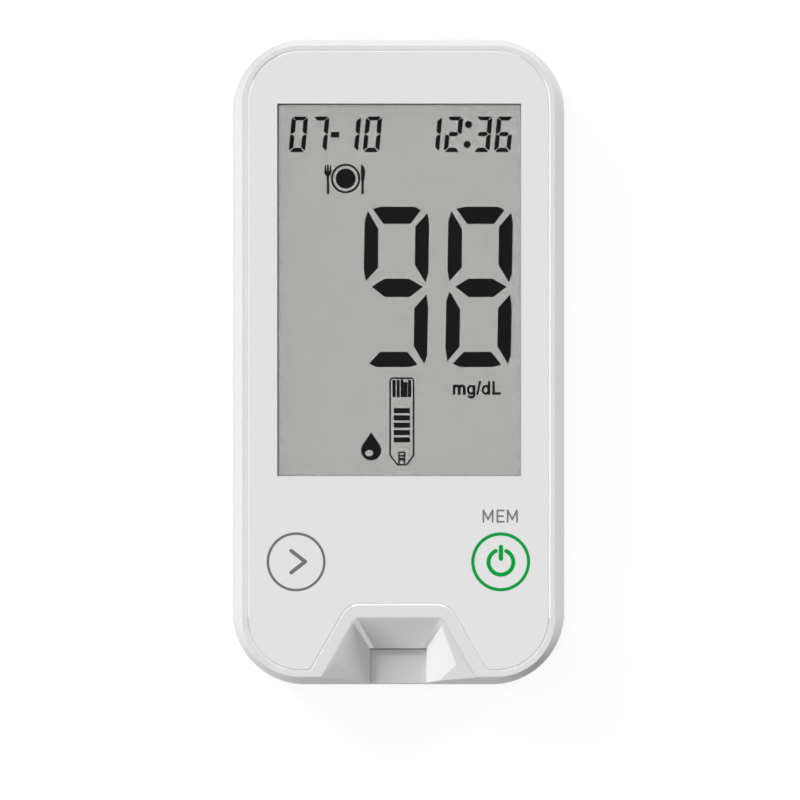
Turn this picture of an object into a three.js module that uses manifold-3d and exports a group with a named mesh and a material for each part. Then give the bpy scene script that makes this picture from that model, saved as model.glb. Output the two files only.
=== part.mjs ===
// A blood glucose meter that lies on its back, in millimetres: +Z up out of the display,
// +Y towards the top of the display, and the test-strip port at the -Y end.
// The origin is the middle of the flat back.
import * as THREE from "three";
import { mergeVertices } from "three/addons/utils/BufferGeometryUtils.js";
import Module from "manifold-3d";

const wasm = await Module();
wasm.setup();

// Case
const caseWidth = 50.4;
const caseLength = 98;
const cornerRadius = 11;
const partingDrop = 0.5;
const partingGap = 0.12;
const wallThickness = 2.2;
const cutOverrun = 1;
const arcSteps = 8;

// Front face: its edge lies inside the widest outline, further at the sides than at the top
const faceSideInset = 1.34;
const faceTopInset = 0.8;
const faceBottomInset = 1.34;
const faceCornerRadius = 8.9;
const shoulderDrop = 4.1;
const shoulderInset = 0.26;

// Back: the rounding where the side turns into the flat back
const backInset = 2.6;
const backRounding = 3;
const backDraft = 0.3;
const roundingSteps = 6;
const backWall = 1.6;
const backCavityInset = 4.2;
const backCavityRise = 2;

// Lip of the rear housing, which stands inside a rebate of the front housing
const lipThickness = 0.9;
const lipHeight = 1.2;
const lipClearance = 0.12;

// Printed sheet on the front, in its recess
const sheetSideInset = 2.28;
const sheetTopInset = 1.69;
const sheetBottomInset = 2.09;
const sheetCornerRadius = 8.06;
const sheetThickness = 0.45;
const sheetRecessDepth = 0.55;
const sheetClearance = 0.15;
const glueGap = 0.05;

// Notch in the sheet round the strip port
const sheetToeLength = 1.44;
const notchSlope = 5.81;
const notchHeight = 10.1;
const notchTopRadius = 3.05;
const notchBaseRadius = 0.8;

// Display window
const windowSideMargin = 6.7;
const windowTopMargin = 9.7;
const windowBottomMargin = 31.7;
const viewMargin = 0.5;

// Clear lens under the sheet
const lensMargin = 1.5;
const lensThickness = 0.8;
const lensPocketDepth = 0.9;
const topWall = 1.65;

// Display stack, from the board up to the ceiling of the front housing
const layerGap = 0.03;
const gasketThickness = 0.5;
const gasketWidth = 1.1;
const polarizerThickness = 0.2;
const polarizerMargin = 0.6;
const glassThickness = 0.7;
const glassMargin = 1.1;
const glassLedge = 2.6;
const frameWall = 0.8;
const frameClearance = 0.15;
const frameFloor = 0.8;
const frameLegHeight = 1.05;
const zebraWidth = 1.9;
const zebraInset = 0.5;

// Main board
const boardThickness = 1.2;
const boardSpace = 0.8;
const boardSideMargin = 2.8;
const boardTopMargin = 8.3;
const boardFrontGap = 0.3;
const boardNotchSideGap = 0.8;
const boardNotchEndGap = 1.2;
const boardCornerCut = 3;
const boardScrewX = 8;
const boardScrewSetBack = 4.1;
const boardBossRadius = 1.8;
const boardPostSideMargin = 6.2;
const boardPostGap = 2.8;
const boardPostRadius = 1.3;

// Keys
const keySideMargin = 9.65;
const keyEndMargin = 18.6;
const keyRadius = 4.44;
const keyGap = 0.15;
const keyEdge = 0.12;
const keyFlangeRadius = 5.3;
const keyFlangeThickness = 1;
const keyStemRadius = 1.5;
const keyTravel = 0.3;
const keyGuideClearance = 0.25;
const keyGuideWall = 0.8;
const keyGuideDepth = 1.9;

// Switches under the keys
const switchSize = 6;
const switchHeight = 1.8;
const switchEdge = 0.35;
const plungerRadius = 1.55;
const plungerStickOut = 0.7;
const plungerSunk = 0.5;
const plungerClearance = 0.12;
const switchLegLength = 1;
const switchLegWidth = 0.7;
const switchLegThickness = 0.25;

// Strip port: a recess that narrows from the face down to a flat floor
const portDepth = 5.5;
const portRimFront = 1.84;
const portRimBack = 0.63;
const portTopReach = 10.11;
const portTopCornerWidth = 0.67;
const portTopCornerLength = 0.64;
const portFloorHalf = 4.29;
const portFloorReach = 5.46;
const portFloorCornerWidth = 0.59;
const portFloorCornerLength = 0.41;
const portWall = 1.4;
const portFloorThickness = 1.2;
const portLevels = 6;
const slotHeight = 1.2;
const slotHalfWidth = 4.2;
const tunnelWall = 1.2;
const tunnelReach = 8.7;

// Strip socket on the board
const socketHalfWidth = 6;
const socketGap = 0.5;
const socketLength = 10.5;
const socketRoof = 1.1;
const socketBackWall = 1.5;
const socketSlotInset = 0.05;
const contactCount = 5;
const contactPitch = 1.5;
const contactWidth = 0.6;
const contactThickness = 0.2;
const contactSlitClearance = 0.1;
const contactFootLength = 1;
const contactRise = 0.55;
const contactDip = 0.45;

// Board components on the side that faces the back
const solderGap = 0.05;
const chipThickness = 1.2;
const processorSize = 9;
const processorX = -9;
const chipRowSetBack = 8;
const analogWidth = 5;
const analogLength = 6;
const analogX = 3;
const memoryWidth = 4;
const memoryLength = 5;
const memoryX = 10;
const crystalRadius = 1;
const crystalLength = 6;
const crystalX = -14;
const buzzerRadius = 4.5;
const buzzerHeight = 2.6;
const buzzerSideMargin = 7.6;
const buzzerGap = 0.3;
const soundHoleRadius = 0.5;
const soundHolePitch = 1.7;

// Coin cells in a bay on the back
const cellRadius = 10;
const cellHeight = 3.2;
const cellCapInset = 1.3;
const cellCapHeight = 0.3;
const cellEdge = 0.35;
const cellGap = 1;
const upperCellMargin = 5.1;
const cellClearance = 0.4;
const cellCoverGap = 0.2;
const contactSpace = 0.8;
const bayRoof = 1;
const bayClipWall = 1.5;
const bayEndWall = 2.6;
const bayStartWall = 1.1;
const bayLinkHalf = 6;

// Battery contacts
const leafThickness = 0.2;
const leafWidth = 3;
const leafReach = 5;
const leafClearance = 0.3;
const clipHalfLength = 2.2;
const clipBow = 0.75;
const clipLift = 0.7;
const clipHeight = 2;
const clipTabWidth = 0.6;
const clipPocketDepth = 1.5;
const clipPocketHalf = 2.7;

// Battery cover
const coverSideReach = 2.6;
const coverStartReach = 1.7;
const coverThickness = 1.7;
const coverEndWall = 1.7;
const coverEndHeight = 6;
const coverGap = 0.2;
const railLip = 0.85;
const railReach = 1.2;
const railGap = 0.1;
const gripCount = 5;
const gripPitch = 1.5;
const gripHalfWidth = 6;
const gripWidth = 0.7;
const gripDepth = 0.4;
const gripSetBack = 4.8;

// Screws
const lowerScrewSideMargin = 6.8;
const lowerScrewEndMargin = 7.8;
const upperScrewEndMargin = 5.2;
const screwWall = 0.6;
const screwRadius = 1;
const screwHeadRadius = 1.8;
const screwHeadHeight = 1.4;
const screwHeadSunk = 1;
const screwReach = 4;
const screwBossRadius = 2.2;
const screwClearance = 0.2;
const pilotClearance = 0.12;
const crossWidth = 0.5;
const crossLength = 2;
const crossDepth = 0.7;
const boardScrewRadius = 0.8;
const boardScrewHeadRadius = 1.5;
const boardScrewHeadHeight = 0.9;
const boardScrewReach = 3;
const screwSteps = 16;

// Rating label
const labelSideMargin = 8.7;
const labelCoverGap = 13.2;
const labelScrewGap = 7.2;
const labelThickness = 0.12;
const labelRecess = 0.2;
const labelRadius = 1.5;
const labelClearance = 0.15;

// Heights that follow from the sizes above, from the back up to the face
const cellBottomZ = coverThickness + cellCoverGap;
const bayCeilingZ = cellBottomZ + cellHeight + contactSpace;
const bayTopZ = bayCeilingZ + bayRoof;
const boardBottomZ = bayTopZ + boardSpace;
const boardTopZ = boardBottomZ + boardThickness;
const frameBottomZ = boardTopZ + solderGap;
const trayTopZ = frameBottomZ + frameLegHeight + frameFloor;
const reflectorTopZ = trayTopZ + layerGap + polarizerThickness;
const rearGlassTopZ = reflectorTopZ + layerGap + glassThickness;
const frontGlassTopZ = rearGlassTopZ + layerGap + glassThickness;
const polarizerTopZ = frontGlassTopZ + layerGap + polarizerThickness;
const gasketTopZ = polarizerTopZ + layerGap + gasketThickness;
const ceilingZ = gasketTopZ + glueGap;
const sheetRecessZ = ceilingZ + topWall;
const lensPocketZ = sheetRecessZ - lensPocketDepth;
const sheetBottomZ = sheetRecessZ + glueGap;
const sheetTopZ = sheetBottomZ + sheetThickness;
const caseHeight = sheetRecessZ + sheetRecessDepth;
const portFloorZ = caseHeight - portDepth;
const partingHeight = boardBottomZ - partingDrop;
const frontBottomZ = partingHeight + partingGap;

// Places that follow from the sizes above
const endY = -caseLength / 2;
const windowWidth = caseWidth - 2 * windowSideMargin;
const windowLength = caseLength - windowTopMargin - windowBottomMargin;
const windowCentreY = (windowBottomMargin - windowTopMargin) / 2;
const zebraLength = windowWidth - 2 * zebraInset;
const sheetHalfWidth = caseWidth / 2 - sheetSideInset;
const notchBaseHalf = sheetHalfWidth - sheetCornerRadius - sheetToeLength;
const notchTopHalf = notchBaseHalf - notchSlope;
const portTopFrontHalf = notchBaseHalf - portRimFront;
const portTopBackHalf = notchTopHalf - portRimBack;
const portTopBackY = endY + portTopReach;
const portFloorBackY = endY + portFloorReach;
const tunnelEndY = endY + tunnelReach;
const socketFrontY = tunnelEndY + socketGap;
const boardScrewY = socketFrontY + socketLength + boardScrewSetBack;
const chipRowY = boardScrewY - chipRowSetBack;
const keyX = caseWidth / 2 - keySideMargin;
const keyY = endY + keyEndMargin;
const cellCapRadius = cellRadius - cellCapInset;
const upperCellY = -endY - upperCellMargin - cellRadius;
const lowerCellY = upperCellY - 2 * cellRadius - cellGap;
const bayHalfWidth = cellRadius + cellClearance + clipPocketDepth + bayClipWall;
const bayStartY = lowerCellY - cellRadius - cellClearance - bayStartWall;
const bayEndY = upperCellY + cellRadius + cellClearance + bayEndWall;
const coverHalfWidth = cellRadius + coverSideReach;
const coverStartY = lowerCellY - cellRadius - coverStartReach;
const buzzerX = caseWidth / 2 - buzzerSideMargin;
const buzzerY = bayStartY - buzzerGap - buzzerRadius;
const boardPostX = caseWidth / 2 - boardPostSideMargin;
const boardPostY = buzzerY - buzzerRadius - boardPostGap - boardPostRadius;
const lowerScrewX = caseWidth / 2 - lowerScrewSideMargin;
const lowerScrewY = endY + lowerScrewEndMargin;
const upperScrewX =
  coverHalfWidth + railReach + coverGap + screwWall + screwHeadRadius + screwClearance;
const upperScrewY = -endY - upperScrewEndMargin;
const labelWidth = caseWidth - 2 * labelSideMargin;
const labelTopY = coverStartY - labelCoverGap;
const labelBottomY = lowerScrewY + labelScrewGap;

const materials = {
  whitePlastic: material(0xe2e2e2, 0.45, 0),
  sheetWhite: material(0xe4e4e4, 0.35, 0),
  keyWhite: material(0xe2e2e2, 0.35, 0),
  clear: material(0xf2f5f5, 0.05, 0),
  foam: material(0x2b2b2d, 0.9, 0),
  film: material(0xa9aaa6, 0.3, 0),
  glass: material(0xcfd6d3, 0.08, 0),
  frame: material(0xd7d7d2, 0.5, 0),
  zebra: material(0x8e8f93, 0.7, 0),
  board: material(0x1f6b45, 0.5, 0),
  chip: material(0x1c1c1e, 0.6, 0),
  steel: material(0xb9bbbd, 0.28, 1),
  socket: material(0x2a2a2c, 0.55, 0),
  gold: material(0xd9b45a, 0.3, 1),
  label: material(0xc9cbcc, 0.4, 0),
};

function material(color, roughness, metalness) {
  return new THREE.MeshStandardMaterial({ color, roughness, metalness });
}

// Turns a closed geometry into a solid that can be joined and cut.
function solid(geometry) {
  const bare = geometry.index ? geometry.toNonIndexed() : geometry.clone();
  for (const name of Object.keys(bare.attributes)) {
    if (name !== "position") bare.deleteAttribute(name);
  }
  const merged = mergeVertices(bare);
  return new wasm.Manifold(
    new wasm.Mesh({
      numProp: 3,
      vertProperties: new Float32Array(merged.attributes.position.array),
      triVerts: new Uint32Array(merged.index.array),
    }),
  );
}

// Turns a solid into a named mesh.
function piece(name, shape, look) {
  const { vertProperties, triVerts } = shape.getMesh();
  const geometry = new THREE.BufferGeometry();
  geometry.setAttribute("position", new THREE.BufferAttribute(vertProperties, 3));
  geometry.setIndex(new THREE.BufferAttribute(triVerts, 1));
  geometry.computeVertexNormals();
  const mesh = new THREE.Mesh(geometry, look);
  mesh.name = name;
  return mesh;
}

function joined(shapes) {
  return shapes.reduce((whole, shape) => whole.add(shape));
}

function box(x0, x1, y0, y1, z0, z1) {
  const geometry = new THREE.BoxGeometry(x1 - x0, y1 - y0, z1 - z0);
  return solid(geometry.translate((x0 + x1) / 2, (y0 + y1) / 2, (z0 + z1) / 2));
}

// A solid turned about the Z axis from a profile of [radius, z], moved to x, y.
function turned(profile, steps, x = 0, y = 0) {
  const geometry = new THREE.LatheGeometry(
    profile.map(([radius, z]) => new THREE.Vector2(radius, z)),
    steps,
  );
  return solid(geometry.rotateX(Math.PI / 2).translate(x, y, 0));
}

function cylinder(x, y, radius, z0, z1, steps = screwSteps) {
  return turned([[0, z0], [radius, z0], [radius, z1], [0, z1]], steps, x, y);
}

// The points of a closed outline whose corners [x, y, radius] are rounded by arcs.
// A positive grow moves every side outwards and keeps the arcs' centres.
function outline(corners, grow = 0) {
  const count = corners.length;
  const sides = corners.map(([x, y], i) => {
    const [nextX, nextY] = corners[(i + 1) % count];
    const direction = new THREE.Vector2(nextX - x, nextY - y).normalize();
    const normal = new THREE.Vector2(direction.y, -direction.x);
    return { start: new THREE.Vector2(x, y).addScaledVector(normal, grow), direction, normal };
  });
  const points = [];
  corners.forEach(([, , radius], i) => {
    const before = sides[(i + count - 1) % count];
    const after = sides[i];
    const turn = before.direction.cross(after.direction);
    const along = after.start.clone().sub(before.start).cross(after.direction) / turn;
    const corner = before.start.clone().addScaledVector(before.direction, along);
    const round = Math.max(radius + (turn > 0 ? grow : -grow), 0);
    if (round === 0) {
      points.push(corner);
      return;
    }
    const half = Math.acos(THREE.MathUtils.clamp(before.direction.dot(after.direction), -1, 1)) / 2;
    const tangent = round * Math.tan(half);
    const side = Math.sign(turn);
    const centre = corner
      .clone()
      .addScaledVector(before.direction, -tangent)
      .addScaledVector(before.normal, -side * round);
    const steps = Math.max(2, Math.round((arcSteps * half) / (Math.PI / 4)));
    const first = before.normal.clone().multiplyScalar(side * round);
    for (let step = 0; step <= steps; step++) {
      const spoke = first.clone().rotateAround(new THREE.Vector2(), (side * 2 * half * step) / steps);
      points.push(centre.clone().add(spoke));
    }
  });
  return points;
}

function rectangle(width, length, radius, centreY = 0, grow = 0) {
  const x = width / 2;
  const y0 = centreY - length / 2;
  const y1 = centreY + length / 2;
  return outline([[-x, y0, radius], [x, y0, radius], [x, y1, radius], [-x, y1, radius]], grow);
}

// A plate of that outline between two heights.
function plate(points, z0, z1) {
  const geometry = new THREE.ExtrudeGeometry(new THREE.Shape(points), {
    depth: z1 - z0,
    bevelEnabled: false,
  });
  return solid(geometry.translate(0, 0, z0));
}

// A solid through rings of as many points each, from the lowest to the highest.
function loft(rings) {
  const count = rings[0].points.length;
  const position = [];
  const index = [];
  for (const { points, z } of rings) {
    for (const point of points) position.push(point.x, point.y, z);
  }
  for (let ring = 0; ring + 1 < rings.length; ring++) {
    for (let i = 0; i < count; i++) {
      const a = ring * count + i;
      const b = ring * count + ((i + 1) % count);
      index.push(a, b, b + count, a, b + count, a + count);
    }
  }
  const last = (rings.length - 1) * count;
  for (const [p, q, r] of THREE.ShapeUtils.triangulateShape(rings[0].points, [])) {
    index.push(r, q, p);
  }
  for (const [p, q, r] of THREE.ShapeUtils.triangulateShape(rings.at(-1).points, [])) {
    index.push(last + p, last + q, last + r);
  }
  const geometry = new THREE.BufferGeometry();
  geometry.setAttribute("position", new THREE.Float32BufferAttribute(position, 3));
  geometry.setIndex(index);
  return solid(geometry);
}

// A strip of sheet metal: a band of that thickness along points [u, v], as wide as width.
// The band lies in the XY plane, and its width runs up along Z from 0.
function strip(points, thickness, width) {
  const line = points.map(([u, v]) => new THREE.Vector2(u, v));
  const normals = line.map((point, i) => {
    const before = line[Math.max(i - 1, 0)];
    const after = line[Math.min(i + 1, line.length - 1)];
    const into = point.clone().sub(before).normalize();
    const out = after.clone().sub(point).normalize();
    const direction = into.add(out).normalize();
    const mitre = Math.max(direction.dot(i ? point.clone().sub(before).normalize() : direction), 0.5);
    return new THREE.Vector2(-direction.y, direction.x).multiplyScalar(thickness / 2 / mitre);
  });
  const left = line.map((point, i) => point.clone().add(normals[i]));
  const right = line.map((point, i) => point.clone().sub(normals[i])).reverse();
  const shape = new THREE.Shape([...left, ...right]);
  return new THREE.ExtrudeGeometry(shape, { depth: width, bevelEnabled: false });
}

// The widest outline of the case, drawn in by that much all round.
function caseOutline(inset = 0) {
  return rectangle(caseWidth, caseLength, cornerRadius, 0, -inset);
}

function faceOutline() {
  const width = caseWidth - 2 * faceSideInset;
  const length = caseLength - faceTopInset - faceBottomInset;
  return rectangle(width, length, faceCornerRadius, (faceBottomInset - faceTopInset) / 2);
}

// How far the back's rounding lies inside the widest outline at that height.
function backInsetAt(z) {
  if (z >= backRounding) {
    return (backDraft * (partingHeight - z)) / (partingHeight - backRounding);
  }
  const rise = 1 - z / backRounding;
  return backDraft + (backInset - backDraft) * (1 - Math.sqrt(1 - rise * rise));
}

// The corners of the printed sheet, which runs round the strip port.
function sheetCorners() {
  const x = sheetHalfWidth;
  const y0 = endY + sheetBottomInset;
  const y1 = -endY - sheetTopInset;
  return [
    [-x, y0, sheetCornerRadius],
    [-notchBaseHalf, y0, notchBaseRadius],
    [-notchTopHalf, y0 + notchHeight, notchTopRadius],
    [notchTopHalf, y0 + notchHeight, notchTopRadius],
    [notchBaseHalf, y0, notchBaseRadius],
    [x, y0, sheetCornerRadius],
    [x, y1, sheetCornerRadius],
    [-x, y1, sheetCornerRadius],
  ];
}

// The display window drawn out by margin all round, and by ledge at its lower end.
function windowOutline(margin, ledge = 0) {
  const width = windowWidth + 2 * margin;
  const length = windowLength + 2 * margin + ledge;
  return rectangle(width, length, 0, windowCentreY - ledge / 2);
}

// The strip port's outline at a depth from 0 at the face to 1 at the floor. Its sides run on
// past the end of the case, and wall widens it to the outside of its own wall.
function portOutline(depthShare, wall) {
  const at = (top, floor) => top + (floor - top) * depthShare;
  const backHalf = at(portTopBackHalf, portFloorHalf) + wall;
  const backLineHalf = backHalf - at(portTopCornerWidth, portFloorCornerWidth);
  const backY = at(portTopBackY, portFloorBackY) + wall;
  const sideEndY = backY - wall - at(portTopCornerLength, portFloorCornerLength);
  const frontHalf = at(portTopFrontHalf, portFloorHalf) + wall;
  const frontY = endY + at(faceBottomInset, 0);
  const runOn = (frontY - cutOverrun - sideEndY) / (frontY - sideEndY);
  const outHalf = backHalf + (frontHalf - backHalf) * runOn;
  return [
    new THREE.Vector2(-outHalf, frontY - cutOverrun),
    new THREE.Vector2(outHalf, frontY - cutOverrun),
    new THREE.Vector2(backHalf, sideEndY),
    new THREE.Vector2(backLineHalf, backY),
    new THREE.Vector2(-backLineHalf, backY),
    new THREE.Vector2(-backHalf, sideEndY),
  ];
}

// The space of the strip port, or with a wall its outside, which reaches below by under
// and above by over. Its walls slope down to the slot's top, and stand straight beside the strip.
function portSolid(wall, under, over) {
  const slopeEndZ = portFloorZ + slotHeight;
  const rings = [{ points: portOutline(1, wall), z: portFloorZ - under }];
  for (let level = 0; level <= portLevels; level++) {
    const depthShare = 1 - level / portLevels;
    const z = slopeEndZ + ((caseHeight - slopeEndZ) * level) / portLevels;
    rings.push({ points: portOutline(depthShare, wall), z });
  }
  if (over > 0) rings.push({ points: portOutline(0, wall), z: caseHeight + over });
  return loft(rings);
}

function frontOuter() {
  return loft([
    { points: caseOutline(), z: frontBottomZ },
    { points: caseOutline(shoulderInset), z: caseHeight - shoulderDrop },
    { points: faceOutline(), z: caseHeight },
  ]);
}

function screwPlaces() {
  return [
    [-lowerScrewX, lowerScrewY],
    [lowerScrewX, lowerScrewY],
    [-upperScrewX, upperScrewY],
    [upperScrewX, upperScrewY],
  ];
}

function frontHousing() {
  const outer = frontOuter();
  const inside = caseOutline(wallThickness);
  const cavity = plate(inside, frontBottomZ - cutOverrun, ceilingZ);
  const rebate = plate(
    caseOutline(wallThickness - lipThickness - 2 * lipClearance),
    frontBottomZ - cutOverrun,
    partingHeight + lipHeight + lipClearance,
  );
  const portBody = portSolid(portWall, portFloorThickness, 0);
  const floorZ = portFloorZ - portFloorThickness;
  const tunnelHalf = slotHalfWidth + tunnelWall;
  const tunnelTopZ = portFloorZ + slotHeight + tunnelWall;
  const tunnel = box(-tunnelHalf, tunnelHalf, portFloorBackY, tunnelEndY, floorZ, tunnelTopZ);
  let shell = outer.subtract(cavity).subtract(rebate);
  shell = shell.add(outer.intersect(portBody)).add(tunnel);
  for (const [x, y] of screwPlaces()) {
    shell = shell.add(cylinder(x, y, screwBossRadius, frontBossBottomZ(), ceilingZ + glueGap));
  }
  for (const side of [-1, 1]) {
    const guideRadius = keyFlangeRadius + keyGuideClearance;
    const guide = cylinder(
      side * keyX, keyY, guideRadius + keyGuideWall, ceilingZ - keyGuideDepth, ceilingZ + glueGap, 2 * screwSteps,
    );
    const guideBore = cylinder(
      side * keyX, keyY, guideRadius, ceilingZ - keyGuideDepth - cutOverrun, ceilingZ, 2 * screwSteps,
    );
    const hole = cylinder(
      side * keyX, keyY, keyRadius + keyGuideClearance, ceilingZ - cutOverrun, caseHeight, 2 * screwSteps,
    );
    const boss = cylinder(
      side * boardScrewX, boardScrewY, boardBossRadius, boardTopZ + solderGap, ceilingZ + glueGap,
    );
    const pilot = cylinder(
      side * boardScrewX, boardScrewY, boardScrewRadius + pilotClearance,
      boardTopZ - cutOverrun, boardTopZ + boardScrewReach + pilotClearance,
    );
    shell = shell.add(guide).subtract(guideBore).subtract(hole).add(boss).subtract(pilot);
  }
  for (const [x, y] of screwPlaces()) {
    shell = shell.subtract(
      cylinder(x, y, screwRadius + pilotClearance, frontBottomZ, screwTopZ() + pilotClearance),
    );
  }
  const slot = box(
    -slotHalfWidth, slotHalfWidth, portFloorBackY - cutOverrun, tunnelEndY + cutOverrun,
    portFloorZ, portFloorZ + slotHeight,
  );
  const recess = plate(outline(sheetCorners(), sheetClearance), sheetRecessZ, caseHeight + cutOverrun);
  const lensPocket = plate(windowOutline(lensMargin + sheetClearance), lensPocketZ, caseHeight);
  const view = plate(windowOutline(viewMargin), ceilingZ - cutOverrun, caseHeight);
  shell = shell.subtract(portSolid(0, 0, cutOverrun)).subtract(slot);
  return shell.subtract(recess).subtract(lensPocket).subtract(view);
}

function frontBossBottomZ() {
  return partingHeight + lipHeight;
}

function screwHeadTopZ() {
  return screwHeadSunk + screwHeadHeight;
}

function screwTopZ() {
  return frontBossBottomZ() + screwReach;
}

function rearOuter(topZ) {
  const rings = [];
  for (let step = 0; step <= roundingSteps; step++) {
    const z = backRounding * (1 - Math.cos((Math.PI / 2) * (step / roundingSteps)));
    rings.push({ points: caseOutline(backInsetAt(z)), z });
  }
  rings.push({ points: caseOutline(backInsetAt(topZ)), z: topZ });
  return loft(rings);
}

function labelOutline(grow) {
  const length = labelTopY - labelBottomY;
  return rectangle(labelWidth, length, labelRadius, (labelTopY + labelBottomY) / 2, grow);
}

// The space that the battery cover takes in the rear housing, open to the +Y end.
function coverSpace() {
  const half = coverHalfWidth + coverGap;
  const railHalf = coverHalfWidth + railReach + coverGap;
  const outY = -endY + cutOverrun;
  const endWallY = -endY - coverEndWall - coverGap;
  return joined([
    box(-half, half, coverStartY - coverGap, outY, -cutOverrun, coverThickness + railGap),
    box(-railHalf, railHalf, coverStartY + coverGap, outY, railLip, coverThickness + railGap),
    box(-half, half, endWallY, outY, -cutOverrun, coverEndHeight + coverGap),
  ]);
}

// The bay for the two coin cells, from the cover up to its ceiling.
function baySpace() {
  const z0 = coverThickness;
  const radius = cellRadius + cellClearance;
  const cells = [lowerCellY, upperCellY].map((y) =>
    cylinder(0, y, radius, z0, bayCeilingZ, 2 * screwSteps),
  );
  const link = box(-bayLinkHalf, bayLinkHalf, lowerCellY, upperCellY, z0, bayCeilingZ);
  const clipPockets = [lowerCellY, upperCellY].map((y) =>
    box(
      cellRadius - cellClearance, cellRadius + cellClearance + clipPocketDepth,
      y - clipPocketHalf, y + clipPocketHalf, z0, bayTopZ + cutOverrun,
    ),
  );
  const leafSlots = [lowerCellY, upperCellY].map((y) =>
    box(
      -leafWidth / 2 - leafClearance, leafWidth / 2 + leafClearance,
      y + leafReach - leafClearance, y + leafReach + leafThickness + leafClearance,
      bayCeilingZ - cutOverrun, bayTopZ + cutOverrun,
    ),
  );
  return joined([...cells, link, ...clipPockets, ...leafSlots]);
}

function rearHousing() {
  const outer = rearOuter(partingHeight);
  const cavityInset = wallThickness - lipClearance;
  const cavity = loft([
    { points: caseOutline(backCavityInset), z: backWall },
    { points: caseOutline(cavityInset), z: backWall + backCavityRise },
    { points: caseOutline(cavityInset), z: partingHeight + cutOverrun },
  ]);
  const lipOuter = plate(
    caseOutline(wallThickness - lipThickness - lipClearance),
    partingHeight - lipHeight,
    partingHeight + lipHeight,
  );
  const lipCavity = plate(
    caseOutline(cavityInset), partingHeight - lipHeight - cutOverrun, partingHeight + lipHeight + cutOverrun,
  );
  let shell = outer.subtract(cavity).add(lipOuter.subtract(lipCavity));
  shell = shell.add(box(-bayHalfWidth, bayHalfWidth, bayStartY, bayEndY, backWall / 2, bayTopZ));
  const roofHalf = coverHalfWidth + railReach + coverGap + railLip;
  shell = shell.add(box(-roofHalf, roofHalf, bayStartY, bayEndY, backWall / 2, coverThickness + railGap + railLip));
  for (const [x, y] of screwPlaces()) {
    shell = shell.add(cylinder(x, y, screwBossRadius, backWall / 2, frontBossBottomZ() - screwClearance));
  }
  for (const side of [-1, 1]) {
    const post = cylinder(
      side * boardPostX, boardPostY, boardPostRadius, backWall / 2, boardBottomZ - solderGap,
    );
    shell = shell.add(post);
  }
  for (const [x, y] of screwPlaces()) {
    shell = shell
      .subtract(cylinder(x, y, screwHeadRadius + screwClearance, -cutOverrun, screwHeadTopZ() + glueGap))
      .subtract(cylinder(x, y, screwRadius + screwClearance, -cutOverrun, partingHeight + lipHeight));
  }
  for (const [column, row] of [[0, 0], [1, 0], [-1, 0], [0, 1], [0, -1]]) {
    const x = buzzerX + column * soundHolePitch;
    const y = buzzerY + row * soundHolePitch;
    shell = shell.subtract(cylinder(x, y, soundHoleRadius, -cutOverrun, backWall + cutOverrun, arcSteps));
  }
  const label = plate(
    labelOutline(labelClearance), -cutOverrun, labelRecess,
  );
  return shell.subtract(coverSpace()).subtract(baySpace()).subtract(label);
}

function batteryCover() {
  const outer = rearOuter(partingHeight);
  const outY = -endY + cutOverrun;
  const half = coverHalfWidth;
  const railHalf = coverHalfWidth + railReach;
  const body = box(-half, half, coverStartY, outY, 0, coverEndHeight);
  const inside = box(
    -half - cutOverrun, half + cutOverrun, coverStartY - cutOverrun,
    caseLength / 2 - coverEndWall, coverThickness, coverEndHeight + cutOverrun,
  );
  const rails = box(
    -railHalf, railHalf, coverStartY + 2 * coverGap, outY, railLip + railGap, coverThickness,
  );
  let cover = outer.intersect(body.subtract(inside).add(rails));
  for (let grip = 0; grip < gripCount; grip++) {
    const y = coverStartY + gripSetBack + grip * gripPitch;
    cover = cover.subtract(
      box(-gripHalfWidth, gripHalfWidth, y, y + gripWidth, -cutOverrun, gripDepth),
    );
  }
  return cover;
}

function frontSheet() {
  let sheet = plate(outline(sheetCorners()), sheetBottomZ, sheetTopZ);
  sheet = sheet.subtract(plate(windowOutline(0), sheetBottomZ - cutOverrun, sheetTopZ + cutOverrun));
  for (const side of [-1, 1]) {
    sheet = sheet.subtract(
      cylinder(
        side * keyX, keyY, keyRadius + keyGap,
        sheetBottomZ - cutOverrun, sheetTopZ + cutOverrun, 4 * arcSteps,
      ),
    );
  }
  return sheet;
}

// A key cap: its top lies level with the sheet, and its stem stops on the switch's plunger.
function keyCap() {
  const flangeTopZ = ceilingZ - glueGap;
  const flangeBottomZ = flangeTopZ - keyFlangeThickness;
  const stemBottomZ = plungerTopZ() + solderGap;
  return turned(
    [
      [0, stemBottomZ],
      [keyStemRadius, stemBottomZ],
      [keyStemRadius, flangeBottomZ],
      [keyFlangeRadius, flangeBottomZ],
      [keyFlangeRadius, flangeTopZ],
      [keyRadius, flangeTopZ],
      [keyRadius, sheetTopZ - keyEdge],
      [keyRadius - keyEdge, sheetTopZ],
      [0, sheetTopZ],
    ],
    4 * arcSteps,
  );
}

function switchTopZ() {
  return boardTopZ + solderGap + switchHeight;
}

function plungerTopZ() {
  return switchTopZ() + plungerStickOut;
}

function switchBody() {
  const z0 = boardTopZ + solderGap;
  const half = switchSize / 2;
  const corners = [[-half, -half], [half, -half], [half, half], [-half, half]];
  let body = plate(outline(corners.map(([x, y]) => [x, y, switchEdge])), z0, switchTopZ());
  for (const [x, y] of corners) {
    const legX = x + Math.sign(x) * switchLegLength;
    const legY = y - Math.sign(y) * (switchEdge + switchLegWidth);
    body = body.add(
      box(
        Math.min(x - Math.sign(x) * switchEdge, legX), Math.max(x - Math.sign(x) * switchEdge, legX),
        legY - switchLegWidth / 2, legY + switchLegWidth / 2, z0, z0 + switchLegThickness,
      ),
    );
  }
  const boreDepth = plungerSunk + keyTravel + plungerClearance;
  return body.subtract(
    cylinder(0, 0, plungerRadius + plungerClearance, switchTopZ() - boreDepth, switchTopZ() + cutOverrun),
  );
}

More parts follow.
